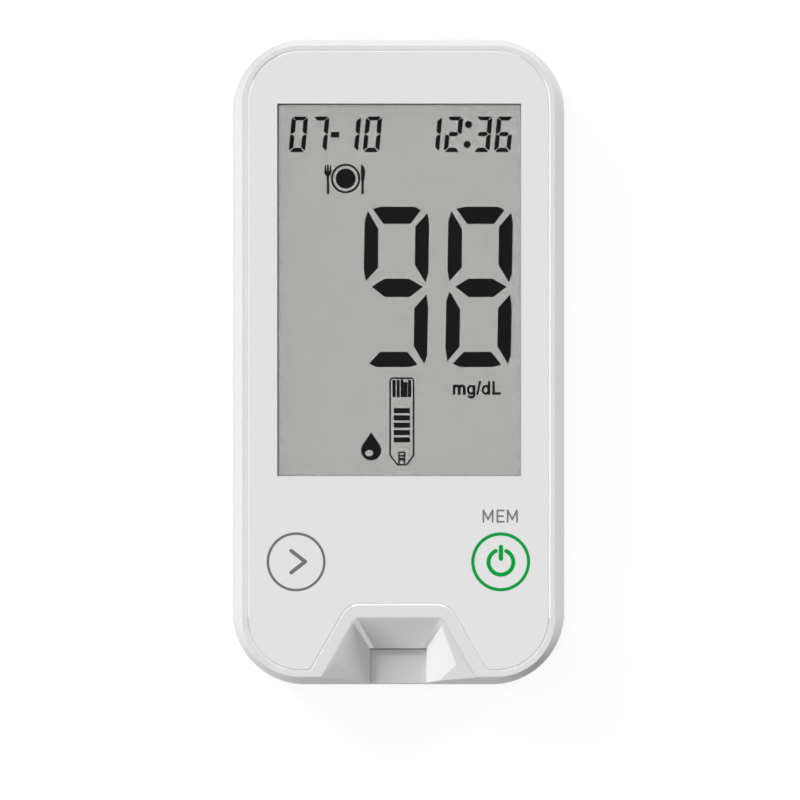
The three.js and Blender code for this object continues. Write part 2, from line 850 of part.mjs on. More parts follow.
function lensSolid() {
  return plate(windowOutline(lensMargin), lensPocketZ + glueGap, lensPocketZ + glueGap + lensThickness);
}

function layer(margin, ledge, topZ, thickness) {
  return plate(windowOutline(margin, ledge), topZ - thickness, topZ);
}

function gasket() {
  const opening = plate(windowOutline(viewMargin), gasketTopZ - gasketThickness - cutOverrun, ceilingZ);
  return layer(viewMargin + gasketWidth, 0, gasketTopZ, gasketThickness).subtract(opening);
}

// The frame that carries the glass: a tray with a floor, and a skirt that stands on the board.
function displayFrame() {
  const pocketMargin = glassMargin + frameClearance;
  const height = frontGlassTopZ - frameBottomZ;
  const outer = layer(pocketMargin + frameWall, glassLedge, frontGlassTopZ, height);
  const tray = layer(pocketMargin, glassLedge, frontGlassTopZ + cutOverrun, frontGlassTopZ + cutOverrun - trayTopZ);
  const under = layer(
    glassMargin - frameWall, -2 * frameWall,
    trayTopZ - frameFloor, frameLegHeight + cutOverrun,
  );
  const half = zebraLength / 2 + frameClearance;
  const zebraSlot = box(
    -half, half, zebraY() - zebraWidth / 2 - frameClearance, zebraY() + zebraWidth / 2 + frameClearance,
    frameBottomZ - cutOverrun, trayTopZ + cutOverrun,
  );
  return outer.subtract(tray).subtract(under).subtract(zebraSlot);
}

// The rubber connector stands under the ledge of the front glass.
function zebraY() {
  return windowCentreY - windowLength / 2 - glassMargin - glassLedge / 2 - layerGap;
}

function zebraConnector() {
  const y = zebraY();
  return box(
    -zebraLength / 2, zebraLength / 2, y - zebraWidth / 2, y + zebraWidth / 2,
    boardTopZ + solderGap, frontGlassTopZ - glassThickness - layerGap,
  );
}

function mainBoard() {
  const x = caseWidth / 2 - boardSideMargin;
  const boardTopY = -endY - boardTopMargin;
  const boardBottomY = tunnelEndY + boardFrontGap;
  const notchX = lowerScrewX - screwBossRadius - boardNotchSideGap;
  const notchY = lowerScrewY + screwBossRadius + boardNotchEndGap;
  const points = outline([
    [-notchX, boardBottomY, 0],
    [notchX, boardBottomY, 0],
    [notchX, notchY, 0],
    [x, notchY, 0],
    [x, boardTopY - boardCornerCut, 0],
    [x - boardCornerCut, boardTopY, 0],
    [-x + boardCornerCut, boardTopY, 0],
    [-x, boardTopY - boardCornerCut, 0],
    [-x, notchY, 0],
    [-notchX, notchY, 0],
  ]);
  let board = plate(points, boardBottomZ, boardTopZ);
  for (const side of [-1, 1]) {
    board = board.subtract(
      cylinder(
        side * boardScrewX, boardScrewY, boardScrewRadius + screwClearance,
        boardBottomZ - cutOverrun, boardTopZ + cutOverrun,
      ),
    );
  }
  return board;
}

// A component soldered under the board, centred on its own origin and hanging down from it.
function chip(width, length, thickness) {
  return box(-width / 2, width / 2, -length / 2, length / 2, -thickness, 0);
}

function socketBody() {
  const y0 = socketFrontY;
  const y1 = socketFrontY + socketLength;
  const slotTopZ = portFloorZ + slotHeight;
  let body = box(
    -socketHalfWidth, socketHalfWidth, y0, y1, boardTopZ + solderGap, slotTopZ + socketRoof,
  );
  body = body.subtract(
    box(
      socketSlotInset - slotHalfWidth, slotHalfWidth - socketSlotInset, y0 - cutOverrun, y1 - socketBackWall,
      portFloorZ + socketSlotInset, slotTopZ - socketSlotInset,
    ),
  );
  for (const x of contactXs()) {
    const half = contactWidth / 2 + contactSlitClearance;
    body = body.subtract(
      box(x - half, x + half, y0 + 2 * contactRise, y1 + cutOverrun, portFloorZ + slotHeight / 2,
        slotTopZ + contactRise + contactThickness + contactSlitClearance),
    );
  }
  return body;
}

function contactXs() {
  return Array.from({ length: contactCount }, (_, i) => (i - (contactCount - 1) / 2) * contactPitch);
}

// A contact spring of the socket, drawn in its side view as points [y, z]: a foot on the
// board behind the socket, a riser, an arm under the roof and a bump that meets the strip.
function stripContact() {
  const backY = socketFrontY + socketLength + contactThickness;
  const footZ = boardTopZ + solderGap + contactThickness / 2;
  const armZ = portFloorZ + slotHeight + contactRise;
  const bumpZ = portFloorZ + slotHeight - contactDip;
  const armShare = 0.45;
  const bumpShare = 0.7;
  const tipShare = 0.84;
  const at = (share) => backY - share * socketLength;
  const points = [
    [backY + contactFootLength, footZ],
    [backY, footZ],
    [backY, armZ],
    [at(armShare), armZ],
    [at(bumpShare), bumpZ],
    [at(tipShare), bumpZ + contactDip],
  ];
  const geometry = strip(points, contactThickness, contactWidth);
  return solid(uprightStrip(geometry, contactWidth));
}

// Turns a strip drawn as [y, z] upright, with its width centred across X.
function uprightStrip(geometry, width) {
  const turn = new THREE.Matrix4().makeBasis(
    new THREE.Vector3(0, 1, 0),
    new THREE.Vector3(0, 0, 1),
    new THREE.Vector3(1, 0, 0),
  );
  return geometry.applyMatrix4(turn).translate(-width / 2, 0, 0);
}

// The cell lies with its can towards the cover and its smaller cap towards the board.
function coinCell() {
  const canTop = cellHeight - cellCapHeight;
  return turned(
    [
      [0, 0],
      [cellRadius - cellEdge, 0],
      [cellRadius, cellEdge],
      [cellRadius, canTop - cellEdge],
      [cellRadius - cellEdge, canTop],
      [cellCapRadius, canTop],
      [cellCapRadius, cellHeight],
      [0, cellHeight],
    ],
    4 * arcSteps,
  );
}

// The leaf that presses on the cell's cap, as points [y, z] from its leg in the bay's roof.
function negativeLeaf() {
  const roofZ = bayCeilingZ - leafThickness;
  const touchZ = cellBottomZ + cellHeight + leafThickness / 2 + glueGap;
  const bendShare = 0.6;
  const tipShare = 0.6;
  const points = [
    [leafReach, boardBottomZ - solderGap],
    [leafReach, roofZ],
    [leafReach * bendShare, roofZ],
    [0, touchZ],
    [-leafReach * tipShare, touchZ + leafThickness],
  ];
  return solid(uprightStrip(strip(points, leafThickness, leafWidth), leafWidth));
}

// The clip that presses on the side of the cell's can, with a tab up to the board.
function positiveClip() {
  const outX = clipBow + leafThickness;
  const bow = solid(
    strip(
      [[outX, -clipHalfLength], [leafThickness, 0], [outX, clipHalfLength]], leafThickness, clipHeight,
    ).translate(0, 0, cellBottomZ + clipLift),
  );
  const tab = box(
    outX - leafThickness / 2, outX + leafThickness / 2,
    clipHalfLength - clipTabWidth, clipHalfLength,
    cellBottomZ + clipLift, boardBottomZ - solderGap,
  );
  return bow.add(tab);
}

// A cross-head screw, head down, from the underside of its head at z = 0 up to its tip.
function screw(radius, headRadius, headHeight, length) {
  const shape = turned(
    [
      [0, -headHeight],
      [headRadius - headHeight / 2, -headHeight],
      [headRadius, -headHeight / 2],
      [headRadius, 0],
      [radius, 0],
      [radius, length - radius],
      [radius / 2, length],
      [0, length],
    ],
    screwSteps,
  );
  const half = Math.min(crossLength / 2, headRadius * 0.6);
  const depth = Math.min(crossDepth, headHeight / 2);
  const bottom = -headHeight - cutOverrun;
  return shape
    .subtract(box(-half, half, -crossWidth / 2, crossWidth / 2, bottom, depth - headHeight))
    .subtract(box(-crossWidth / 2, crossWidth / 2, -half, half, bottom, depth - headHeight));
}

function ratingLabel() {
  const z0 = labelRecess - labelThickness - glueGap;
  return plate(labelOutline(0), z0, z0 + labelThickness);
}

function placed(mesh, x, y, z) {
  mesh.position.set(x, y, z);
  return mesh;
}

function housingGroup() {
  const group = new THREE.Group();
  group.add(piece("front_housing", frontHousing(), materials.whitePlastic));
  group.add(piece("rear_housing", rearHousing(), materials.whitePlastic));
  group.add(piece("battery_cover", batteryCover(), materials.whitePlastic));
  group.add(piece("front_sheet", frontSheet(), materials.sheetWhite));
  group.add(piece("rating_label", ratingLabel(), materials.label));
  const length = screwTopZ() - screwHeadTopZ();
  const shape = screw(screwRadius, screwHeadRadius, screwHeadHeight, length);
  screwPlaces().forEach(([x, y], i) => {
    group.add(placed(piece(`housing_screw_${i + 1}`, shape, materials.steel), x, y, screwHeadTopZ()));
  });
  return group;
}

function displayGroup() {
  const group = new THREE.Group();
  const frontGlass = layer(glassMargin, glassLedge, frontGlassTopZ, glassThickness);
  const rearGlass = layer(glassMargin, 0, rearGlassTopZ, glassThickness);
  const polarizer = layer(polarizerMargin, 0, polarizerTopZ, polarizerThickness);
  const reflector = layer(polarizerMargin, 0, reflectorTopZ, polarizerThickness);
  group.add(piece("display_lens", lensSolid(), materials.clear));
  group.add(piece("display_gasket", gasket(), materials.foam));
  group.add(piece("display_polarizer", polarizer, materials.film));
  group.add(piece("display_front_glass", frontGlass, materials.glass));
  group.add(piece("display_rear_glass", rearGlass, materials.glass));
  group.add(piece("display_reflector", reflector, materials.film));
  group.add(piece("display_frame", displayFrame(), materials.frame));
  group.add(piece("zebra_connector", zebraConnector(), materials.zebra));
  return group;
}

function boardGroup() {
  const group = new THREE.Group();
  const underZ = boardBottomZ - solderGap;
  const processor = chip(processorSize, processorSize, chipThickness);
  const analog = chip(analogWidth, analogLength, chipThickness);
  const memory = chip(memoryWidth, memoryLength, chipThickness);
  const crystal = solid(new THREE.CylinderGeometry(crystalRadius, crystalRadius, crystalLength, 2 * arcSteps)
    .rotateZ(Math.PI / 2).translate(0, 0, -crystalRadius));
  const buzzer = cylinder(0, 0, buzzerRadius, -buzzerHeight, 0, 4 * arcSteps);
  group.add(piece("main_board", mainBoard(), materials.board));
  group.add(placed(piece("processor", processor, materials.chip), processorX, chipRowY, underZ));
  group.add(placed(piece("analog_front_end", analog, materials.chip), analogX, chipRowY, underZ));
  group.add(placed(piece("memory_chip", memory, materials.chip), memoryX, chipRowY, underZ));
  group.add(placed(piece("clock_crystal", crystal, materials.steel), crystalX, boardScrewY, underZ));
  group.add(placed(piece("buzzer", buzzer, materials.chip), buzzerX, buzzerY, underZ));
  group.add(piece("strip_socket", socketBody(), materials.socket));
  const contact = stripContact();
  contactXs().forEach((x, i) => {
    group.add(placed(piece(`strip_contact_${i + 1}`, contact, materials.gold), x, 0, 0));
  });
  const length = boardThickness + boardScrewReach;
  const shape = screw(boardScrewRadius, boardScrewHeadRadius, boardScrewHeadHeight, length);
  [-1, 1].forEach((side, i) => {
    const mesh = piece(`board_screw_${i + 1}`, shape, materials.steel);
    group.add(placed(mesh, side * boardScrewX, boardScrewY, underZ));
  });
  return group;
}

function keyGroup(name, x) {
  const group = new THREE.Group();
  const plunger = cylinder(
    0, 0, plungerRadius, switchTopZ() - plungerSunk, plungerTopZ(), 2 * arcSteps,
  );
  group.add(piece(`${name}_key`, keyCap(), materials.keyWhite));
  group.add(piece(`${name}_plunger`, plunger, materials.socket));
  group.add(piece(`${name}_switch`, switchBody(), materials.steel));
  group.position.set(x, keyY, 0);
  return group;
}

function powerGroup() {
  const group = new THREE.Group();
  const cell = coinCell();
  const leaf = negativeLeaf();
  const clip = positiveClip();
  const clipX = cellRadius + glueGap;
  for (const [name, y] of [["lower", lowerCellY], ["upper", upperCellY]]) {
    group.add(placed(piece(`${name}_coin_cell`, cell, materials.steel), 0, y, cellBottomZ));
    group.add(placed(piece(`${name}_negative_contact`, leaf, materials.gold), 0, y, 0));
    group.add(placed(piece(`${name}_positive_contact`, clip, materials.gold), clipX, y, 0));
  }
  return group;
}

const meter = new THREE.Group();
meter.add(housingGroup());
meter.add(displayGroup());
meter.add(boardGroup());
meter.add(keyGroup("next", -keyX));
meter.add(keyGroup("power", keyX));
meter.add(powerGroup());

export default meter;
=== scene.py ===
"""Dresses a handheld blood glucose meter that lies on its back.

Shapes are worked out in millimetres in the part's own frame: X to the right of the display,
Y towards its top, Z out of it. Each finished mesh is in metres, with its object at the origin.
"""

import math

import bmesh
import bpy
import numpy as np
from bpy.props import FloatProperty, FloatVectorProperty, IntProperty, PointerProperty
from mathutils import Matrix, Vector


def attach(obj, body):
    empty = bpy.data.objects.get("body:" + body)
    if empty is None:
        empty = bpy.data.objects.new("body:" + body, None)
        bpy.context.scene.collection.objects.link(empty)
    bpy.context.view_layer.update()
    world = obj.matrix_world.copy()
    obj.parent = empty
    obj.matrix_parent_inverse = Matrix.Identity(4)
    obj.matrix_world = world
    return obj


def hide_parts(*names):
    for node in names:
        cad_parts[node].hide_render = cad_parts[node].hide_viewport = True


bl_info = {
    "name": "Blood Glucose Meter",
    "version": (1, 0, 0),
    "blender": (4, 5, 0),
    "location": "View3D > Sidebar > Meter",
    "description": "Builds the outside and the finishes of a handheld blood glucose meter",
    "category": "Add Mesh",
}

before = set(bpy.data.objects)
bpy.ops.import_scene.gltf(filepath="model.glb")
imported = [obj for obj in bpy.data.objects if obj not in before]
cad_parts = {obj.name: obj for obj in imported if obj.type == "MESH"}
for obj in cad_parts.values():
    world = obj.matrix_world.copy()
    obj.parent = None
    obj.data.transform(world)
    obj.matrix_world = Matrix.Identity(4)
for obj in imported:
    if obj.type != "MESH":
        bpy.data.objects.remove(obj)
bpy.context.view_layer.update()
MM = 0.001

# Sizes of the solids that the pieces fit, in millimetres, first the case with its face
CASE_WIDTH, CASE_LENGTH, CASE_HEIGHT, CORNER = 50.4, 98.0, 15.5, 11.0
PARTING, PARTING_GAP, PARTING_EDGE = 7.2, 0.12, 0.1
WALL, CEILING = 2.2, 13.3
FACE_SIDE, FACE_TOP, FACE_BOTTOM, FACE_CORNER = 1.34, 0.8, 1.05, 8.9
SHOULDER_Z, SHOULDER_INSET = 11.4, 0.26
# Printed sheet and window, and the pocket and view of the display's lens
SHEET_TOP, SHEET_LOW, RECESS = 15.45, 15.0, 14.95
WINDOW, PRINTED_WINDOW = (-18.5, 18.5, -17.3, 39.3), (-18.42, 18.64, -17.38, 39.26)
POCKET_LOW, POCKET_MARGIN, POCKET_CORNER = 14.05, 1.65, 0.4
VIEW_LOW, VIEW_MARGIN, VIEW_CORNER = 12.0, 0.5, 0.3
FILM_TOP = 12.72
# Strip port, and the slot with the tunnel behind it
PORT_FLOOR, PORT_DEPTH, PORT_WALL, PORT_BASE = 10.0, 5.5, 1.4, 1.2
SLOT_HALF, SLOT_HEIGHT, SLOT_MOUTH = 4.2, 1.2, -43.54
TUNNEL_HALF, TUNNEL_HEIGHT, TUNNEL_END = 5.4, 2.4, -40.3
# Keys with their guides, and screws with their bosses and pilot holes
KEY_X, KEY_Y = 15.55, -30.4
KEYS = ((-KEY_X, KEY_Y), (KEY_X, KEY_Y))
GUIDE, GUIDE_BORE, KEY_HOLE, GUIDE_FOOT = 6.35, 5.55, 4.69, 11.4
SCREWS = ((-18.4, -41.2), (18.4, -41.2), (-16.6, 43.8), (16.6, 43.8))
BOSS, PILOT, PILOT_TOP = 2.2, 1.12, 12.52
BOARD_SCREWS, BOARD_TOP = ((-8.0, -25.2), (8.0, -25.2)), 8.9
BOARD_BOSS, BOARD_PILOT, BOARD_PILOT_TOP = 1.8, 0.92, 12.02
# Rear housing: lip, screw bores, rounded back and hollow
LIP_TOP, LIP_GAP, LIP_INSET, REBATE_INSET = 8.4, 0.12, 1.18, 1.06
HEAD_BORE, HEAD_DEPTH, SHANK_BORE = 2.0, 2.45, 1.2
BACK_ROUND, BACK_INSET, BACK_REACH = 3.0, 0.3, 2.3
BACK_THICK, REAR_WALL = 0.8, 2.08
REAR_HOLLOW = ((1.6, 4.2), (2.4, 2.8), (3.6, REAR_WALL), (8.2, REAR_WALL))
# Battery bay and cover, and the posts under the board
CELLS = (12.9, 33.9)
BAY_HALF, BAY_TOP, BAY_LOW, BAY_HIGH = 13.4, 6.9, 1.4, 46.9
CELL_BORE, CELL_TOP, CELL_LINK = 10.4, 5.9, 6.0
COVER_HALF, COVER_START, COVER_THICK, COVER_END = 12.6, 1.2, 1.7, 6.0
RAIL_REACH, RAIL_LIP, RAIL_GAP, COVER_GAP = 1.2, 0.85, 0.1, 0.2
RAIL_HALF, RAIL_TOP = 14.85, 2.65
POSTS, POST, POST_TOP = ((-19.0, -12.0), (19.0, -12.0)), 1.3, 7.65
# Recess of the rating label: X and Y ranges and corner; and the middle and pitch of the sound holes
LABEL_RECESS, SOUND_PLACE, SOUND_PITCH = (-16.65, 16.65, -34.15, -11.85, 1.65), (17.6, -3.4), 1.7
# Room for a cell's side contact and end contact: X and Y ranges, counted from the cell's middle
SIDE_POCKET, END_POCKET = (9.6, 11.9, -2.7, 2.7), (-1.8, 1.8, 4.7, 5.5)
# Cutters start and end clear of what they cut, and joined pieces overlap
OVERRUN, OVERLAP = 1.0, 0.05
UNDER_FRONT, OVER_FACE, OVER_WINDOW = 6.0, 16.5, 15.3
# The port's back wall and its corner facets: half width, Y, and reach along X and Y, each at the
# face and at the slot's top
BACK_HALF, BACK_Y, FACET_X, FACET_Y = (6.98, 4.29), (-38.89, SLOT_MOUTH), (0.67, 0.59), (0.64, 0.02)
# Heights of the crease in the port's side wall, with its X, its Y, and how far the facet outside
# it goes sideways for each millimetre towards the front
PORT_CREASE = (
    ((11.2, 12.6, 15.0, 15.5), (4.29, 5.87, 9.06, 10.17)),
    ((11.2, 12.6, 15.0, 15.5), (-49.2, -48.75, -45.8, -45.17)),
    ((11.2, 12.6, 15.0, 15.5), (0.0, 0.912, 0.912, 0.566)),
)
PORT_HEIGHTS = (10.0, 11.2, 11.9, 12.6, 13.2, 13.8, 14.4, 14.8, 15.1, 15.36, 15.5)
# Parts of the port with painted shade or a coat: outlines of the left corner facet and of the right
# wall's upper edge, the height where that edge starts, and the right outer flank's normal and back end
LEFT_FACET = ((-6.98, -39.53), (-4.29, -43.57), (-3.70, -43.53), (-6.31, -38.89))
RIGHT_EDGE, RIGHT_EDGE_LOW = ((5.5, -38.5), (5.5, -49.5), (13.4, -49.5), (11.5, -38.5)), 14.8
FLANK_NORMAL, FLANK_BACK = (-0.38, -0.31, 0.88), -46.0
# The camera's place and the width of its picture, and the lamps' azimuth and elevation, strength and
# spread, all angles in degrees
CAMERA_PLACE, PICTURE_WIDTH = (0.24, -5.8, 600.0), 121.6
LAMPS = {
    "Key": (135, 35, 1.8, 25), "High": (135, 80, 0.45, 20), "Left": (180, 12, 0.52, 25),
    "Lower left": (225, 8, 0.97, 20), "Right": (42, 8, 2.05, 20),
}


def srgb(*levels):
    """Linear colour of 8-bit display levels: ((level / 255 + 0.055) / 1.055) to the power 2.4."""
    share = np.array(levels) / 255
    linear = np.where(share > 0.04045, ((share + 0.055) / 1.055) ** 2.4, share / 12.92)
    return tuple(float(value) for value in linear)


def length(name, description, millimetres):
    """A property that holds a length, given in millimetres and stored in metres."""
    return FloatProperty(
        name=name, description=description, default=millimetres * MM, min=0.0, unit="LENGTH", precision=5
    )


def colour(name, description, value):
    """A property that holds a linear colour."""
    return FloatVectorProperty(
        name=name, description=description, default=value, size=3, min=0.0, max=1.0, subtype="COLOR"
    )


class MeterSizes(bpy.types.PropertyGroup):
    """Sizes that give the moulded pieces their fine edges."""

    face_round: length("Face edge", "Rounding where the shoulder meets the face", 0.16)
    shoulder_round: length("Shoulder edge", "Rounding where the side wall meets the shoulder", 0.5)
    sheet_inset: length("Sheet inset", "How far the groove's bottom lies inside the sheet's outline", 0.06)
    sheet_bevel: length("Sheet bevel", "Width of the bevel round the printed sheet", 0.15)
    sheet_slit: length("Sheet slit", "Gap between the printed sheet and its recess", 0.005)
    recess_bevel: length("Recess bevel", "Width of the bevel round the sheet's recess", 0.26)
    groove_depth: length("Groove depth", "Depth of the groove between the two bevels, from the face", 0.12)
    port_round: length("Port edge", "Rounding of the strip port's upper edge", 0.14)
    port_corner: length("Port corner", "Rounding of the strip port's upright corners", 0.12)
    relief_width: length("Relief width", "Width of the relief in the port's floor at the slot", 0.2)
    key_radius: length("Key radius", "Radius of the two key caps", 4.43)
    key_round: length("Key edge", "Rounding of the key caps' rims", 0.03)
    grey_ring: length("Grey ring", "Inner radius of the ring round the next key", 4.1)
    green_ring: length("Green ring", "Inner radius of the ring round the power key", 3.99)
    key_slit: length("Key slit", "Gap between a key cap and the printed sheet", 0.04)
    ink_spread: length("Ink spread", "How far ink spreads past its drawn outline", 0.035)
    print_height: length("Print height", "How far the print stands above what carries it", 0.012)
    corner_steps: IntProperty(
        name="Corner steps", description="Facets in a quarter turn of the case", default=24, min=4, max=64
    )


class MeterColours(bpy.types.PropertyGroup):
    """Colours of the pieces that show."""

    shell: colour("Shell", "Moulded white plastic", srgb(231, 231, 231))
    sheet: colour("Sheet", "Printed white film", srgb(231, 231, 231))
    display: colour("Display", "Grey behind the display's segments", srgb(116, 116, 114))
    segment: colour("Segments", "Dark segments of the display", srgb(32, 32, 32))
    # This colour is a painted shadow: a dark band where the window's edge shades the display.
    window_shade: colour("Display painted shadow", "Dark line round the display", srgb(174, 174, 172))
    # The edge colour is a painted highlight: a lighter grey on the groove's bevels for the light they catch.
    edge: colour("Painted highlight edge", "Bevels on both sides of the groove", srgb(244, 244, 244))
    print_grey: colour("Grey print", "Print of the next key and the legend", srgb(120, 120, 121))
    print_green: colour("Green print", "Print of the power key", srgb(0, 164, 64))


def sizes():
    """The sizes by name: lengths in millimetres, and the count of steps as it is."""
    group = bpy.context.scene.meter_sizes
    values = {name: getattr(group, name) for name in MeterSizes.__annotations__}
    return {name: value if isinstance(value, int) else value / MM for name, value in values.items()}


def paint(name):
    """The colour of that name among the scene's colours."""
    return getattr(bpy.context.scene.meter_colours, name)


def ring(corners, grow=0.0, steps=6):
    """Closed outline through corners (x, y, radius), run anticlockwise.

    Each side moves outwards by grow, and two neighbours meet again where they cross. At a corner
    the centre lies radius inside both sides, and the arc turns from one side's normal to the next
    in equal steps. A corner on a straight side stays a point.
    """
    corner = np.asarray(corners, float)
    point, radius = corner[:, :2], corner[:, 2]
    along = np.roll(point, -1, 0) - point
    along /= np.linalg.norm(along, axis=1, keepdims=True)
    out = np.stack([along[:, 1], -along[:, 0]], 1)
    before, before_out = np.roll(along, 1, 0), np.roll(out, 1, 0)
    start = point + out * grow
    last = np.roll(start, 1, 0)
    cross = before[:, 0] * along[:, 1] - before[:, 1] * along[:, 0]
    straight = np.abs(cross) < 1e-6
    gap = start - last
    reach = (gap[:, 0] * along[:, 1] - gap[:, 1] * along[:, 0]) / np.where(straight, 1, cross)
    tip = np.where(straight[:, None], start, last + before * reach[:, None])
    side = np.where(straight, 0, np.sign(cross))
    curve = np.maximum(radius + side * grow, 0)
    half = np.arccos(np.clip((before * along).sum(1), -1, 1)) / 2
    spoke = before_out * (side * curve)[:, None]
    centre = tip - before * (curve * np.tan(half))[:, None] - spoke
    turn = (side * 2 * half)[:, None] * np.linspace(0, 1, steps + 1)
    x = centre[:, :1] + spoke[:, :1] * np.cos(turn) - spoke[:, 1:] * np.sin(turn)
    y = centre[:, 1:] + spoke[:, :1] * np.sin(turn) + spoke[:, 1:] * np.cos(turn)
    return np.stack([x, y], -1).reshape(-1, 2)


def circle(radius, count, x=0.0, y=0.0):
    """Points x + r cos a, y + r sin a at count equal angles."""
    angle = np.arange(count) * 2 * np.pi / count
    return np.stack([x + radius * np.cos(angle), y + radius * np.sin(angle)], 1)


def lift(points, z):
    """The same points at height z."""
    return np.concatenate([points, np.full((len(points), 1), float(z))], 1)


def rectangle(x0, x1, y0, y1, radius=0.0):
    """Corners of a rectangle for ring()."""
    return [(x0, y0, radius), (x1, y0, radius), (x1, y1, radius), (x0, y1, radius)]


def quarter(z, radius, way, grow, steps=5):
    """Levels (height, growth) of a quarter-round edge that ends level with z.

    height = z - way r (1 - sin a) and growth = grow r (1 - cos a) for a from 0 to 90 degrees, so
    grow -1 rounds a solid's rim and grow +1 flares a cutter to round the rim of its hole.
    """
    angle = np.linspace(0, np.pi / 2, steps)
    return np.stack([z - way * radius * (1 - np.sin(angle)), grow * radius * (1 - np.cos(angle))], 1)


def prism(corners, levels, steps=6):
    """Object of an outline that grows level by level along Z."""
    return solid(np.stack([lift(ring(corners, grow, steps), z) for z, grow in levels]))


def turned(profile, count, places=((0.0, 0.0),), wrap=False):
    """Object of a profile [radius, z] turned about Z, with a copy at each place."""
    profile = np.asarray(profile, float)
    loops = profile[:, :1, None] * circle(1.0, count)[None]
    loops = np.concatenate([loops, np.broadcast_to(profile[:, 1, None, None], loops.shape[:2] + (1,))], 2)
    offset = np.concatenate([np.asarray(places, float), np.zeros((len(places), 1))], 1)
    return solid(loops[None] + offset[:, None, None], wrap)


def rods(places, radius, z0, z1, count=48):
    """Plain cylinders at the places."""
    return turned([(radius, z0), (radius, z1)], count, places)


def weld(mesh, reach=1e-4):
    """Joins points closer together than reach, and drops the faces that close up."""
    work = bmesh.new()
    work.from_mesh(mesh)
    bmesh.ops.remove_doubles(work, verts=work.verts, dist=reach)
    work.to_mesh(mesh)
    work.free()


def solid(loops, wrap=False):
    """Object from loops of points: neighbours are joined by quads, and the ends closed by a face.

    Loops run anticlockwise and from the lowest to the highest. With wrap the last loop joins the
    first, as on a torus.
    """
    loops = np.asarray(loops, float)
    loops = loops[None] if loops.ndim == 3 else loops
    copies, levels, count = loops.shape[:3]
    level = np.arange(levels if wrap else levels - 1)[:, None]
    i = np.arange(count)[None]
    j = (i + 1) % count
    low, high = level * count, (level + 1) % levels * count
    quads = np.stack([low + i, low + j, high + j, high + i], -1).reshape(-1, 4)
    start = (np.arange(copies) * levels * count)[:, None]
    faces = (quads[None] + start[:, :, None]).reshape(-1, 4).tolist()
    if not wrap:
        faces += (i[:, ::-1] + start).tolist()
        faces += (i + (levels - 1) * count + start).tolist()
    mesh = bpy.data.meshes.new("work")
    mesh.from_pydata(loops.reshape(-1, 3).tolist(), [], faces)
    weld(mesh, 2e-4)
    return linked(mesh, "work")


def linked(data, name):
    """A new object of a mesh, lamp or camera in the scene."""
    made = bpy.data.objects.new(name, data)
    bpy.context.scene.collection.objects.link(made)
    return made


def box(x0, x1, y0, y1, z0, z1):
    """A plain block, as a tool to join or cut with."""
    return prism(rectangle(x0, x1, y0, y1), [(z0, 0), (z1, 0)], 1)


def cut(*tools):
    """Steps for carve() that take the tools away."""
    return [("DIFFERENCE", tool) for tool in tools]


def join(*tools):
    """Steps for carve() that add the tools."""
    return [("UNION", tool) for tool in tools]


def carve(body, *steps):
    """Joins, cuts or crosses body with each (operation, other) in order, and deletes the others."""
    for operation, other in steps:
        modifier = body.modifiers.new(operation, "BOOLEAN")
        modifier.operation = operation
        modifier.solver = "MANIFOLD"
        modifier.object = other
    bpy.context.view_layer.update()
    made = bpy.data.meshes.new_from_object(body.evaluated_get(bpy.context.evaluated_depsgraph_get()))
    body.modifiers.clear()
    body.data = made
    for _, other in steps:
        bpy.data.objects.remove(other)
    return body


def finished(piece, name, body, material, nodes=(), angle=32):
    """Puts a piece worked out in millimetres in its place: metres, shading, finish and body."""
    piece.name = piece.data.name = name
    mesh = piece.data
    weld(mesh)
    mesh.transform(Matrix.Scale(MM, 4))
    mesh.polygons.foreach_set("use_smooth", np.ones(len(mesh.polygons), bool))
    mesh.set_sharp_from_angle(angle=math.radians(angle))
    mesh.materials.clear()
    mesh.materials.append(material)
    piece.modifiers.new("Even shading", "WEIGHTED_NORMAL").keep_sharp = True
    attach(piece, body)
    if nodes:
        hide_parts(*nodes)


def case_corners(inset=0.0):
    """The widest outline of the case, drawn in by inset."""
    x, y = CASE_WIDTH / 2 - inset, CASE_LENGTH / 2 - inset
    return rectangle(-x, x, -y, y, CORNER - inset)


def face_corners():
    """The edge of the flat face."""
    x, y = CASE_WIDTH / 2 - FACE_SIDE, CASE_LENGTH / 2
    return rectangle(-x, x, FACE_BOTTOM - y, y - FACE_TOP, FACE_CORNER)


def sheet_corners():
    """The printed sheet, with its notch round the strip port."""
    x, low, high = 22.92, -46.91, 47.31
    return [
        (-x, low, 8.06), (-13.42, low, 0.8), (-7.61, -36.81, 3.05),
        (7.61, -36.81, 3.05), (13.42, low, 0.8), (x, low, 8.06),
        (x, high, 8.06), (-x, high, 8.06),
    ]


def window_corners(margin, radius):
    """The display window, drawn out by margin."""
    left, right, low, high = WINDOW
    return rectangle(left - margin, right + margin, low - margin, high + margin, radius)


def port_corners(z, wall, radius):
    """The strip port's outline at height z, its walls moved out by wall.

    Each measure goes straight from its value at the face to its value at the slot's top, and stays
    there below. A crease runs down each side wall, from the rim to the front edge, and the facet
    outside it keeps one direction, so that it is a plane.
    """
    share = float(np.clip((CASE_HEIGHT - z) / (PORT_DEPTH - SLOT_HEIGHT), 0, 1))
    half, back, facet_x, facet_y, soft = (
        top + (low - top) * share for top, low in (BACK_HALF, BACK_Y, FACET_X, FACET_Y, (radius, 0.01))
    )
    half += wall
    line_half, side_end = half - facet_x, back - facet_y
    back += wall
    crease_x, crease_y, run = (float(np.interp(z, *pair)) for pair in PORT_CREASE)
    front = -CASE_LENGTH / 2 - OVERRUN
    crease_x += wall
    out_half = crease_x + (crease_y - front) * run
    return [
        (-out_half, front, 0), (out_half, front, 0), (crease_x, crease_y, 0.1),
        (half, side_end, soft), (line_half, back, soft), (-line_half, back, soft),
        (-half, side_end, soft), (-crease_x, crease_y, 0.1),
    ]


def port_block(wall, levels, radius):
    """Object of the strip port's room at (height, growth) levels."""
    return solid(np.stack([lift(ring(port_corners(z, wall, radius), grow, 4), z) for z, grow in levels]))


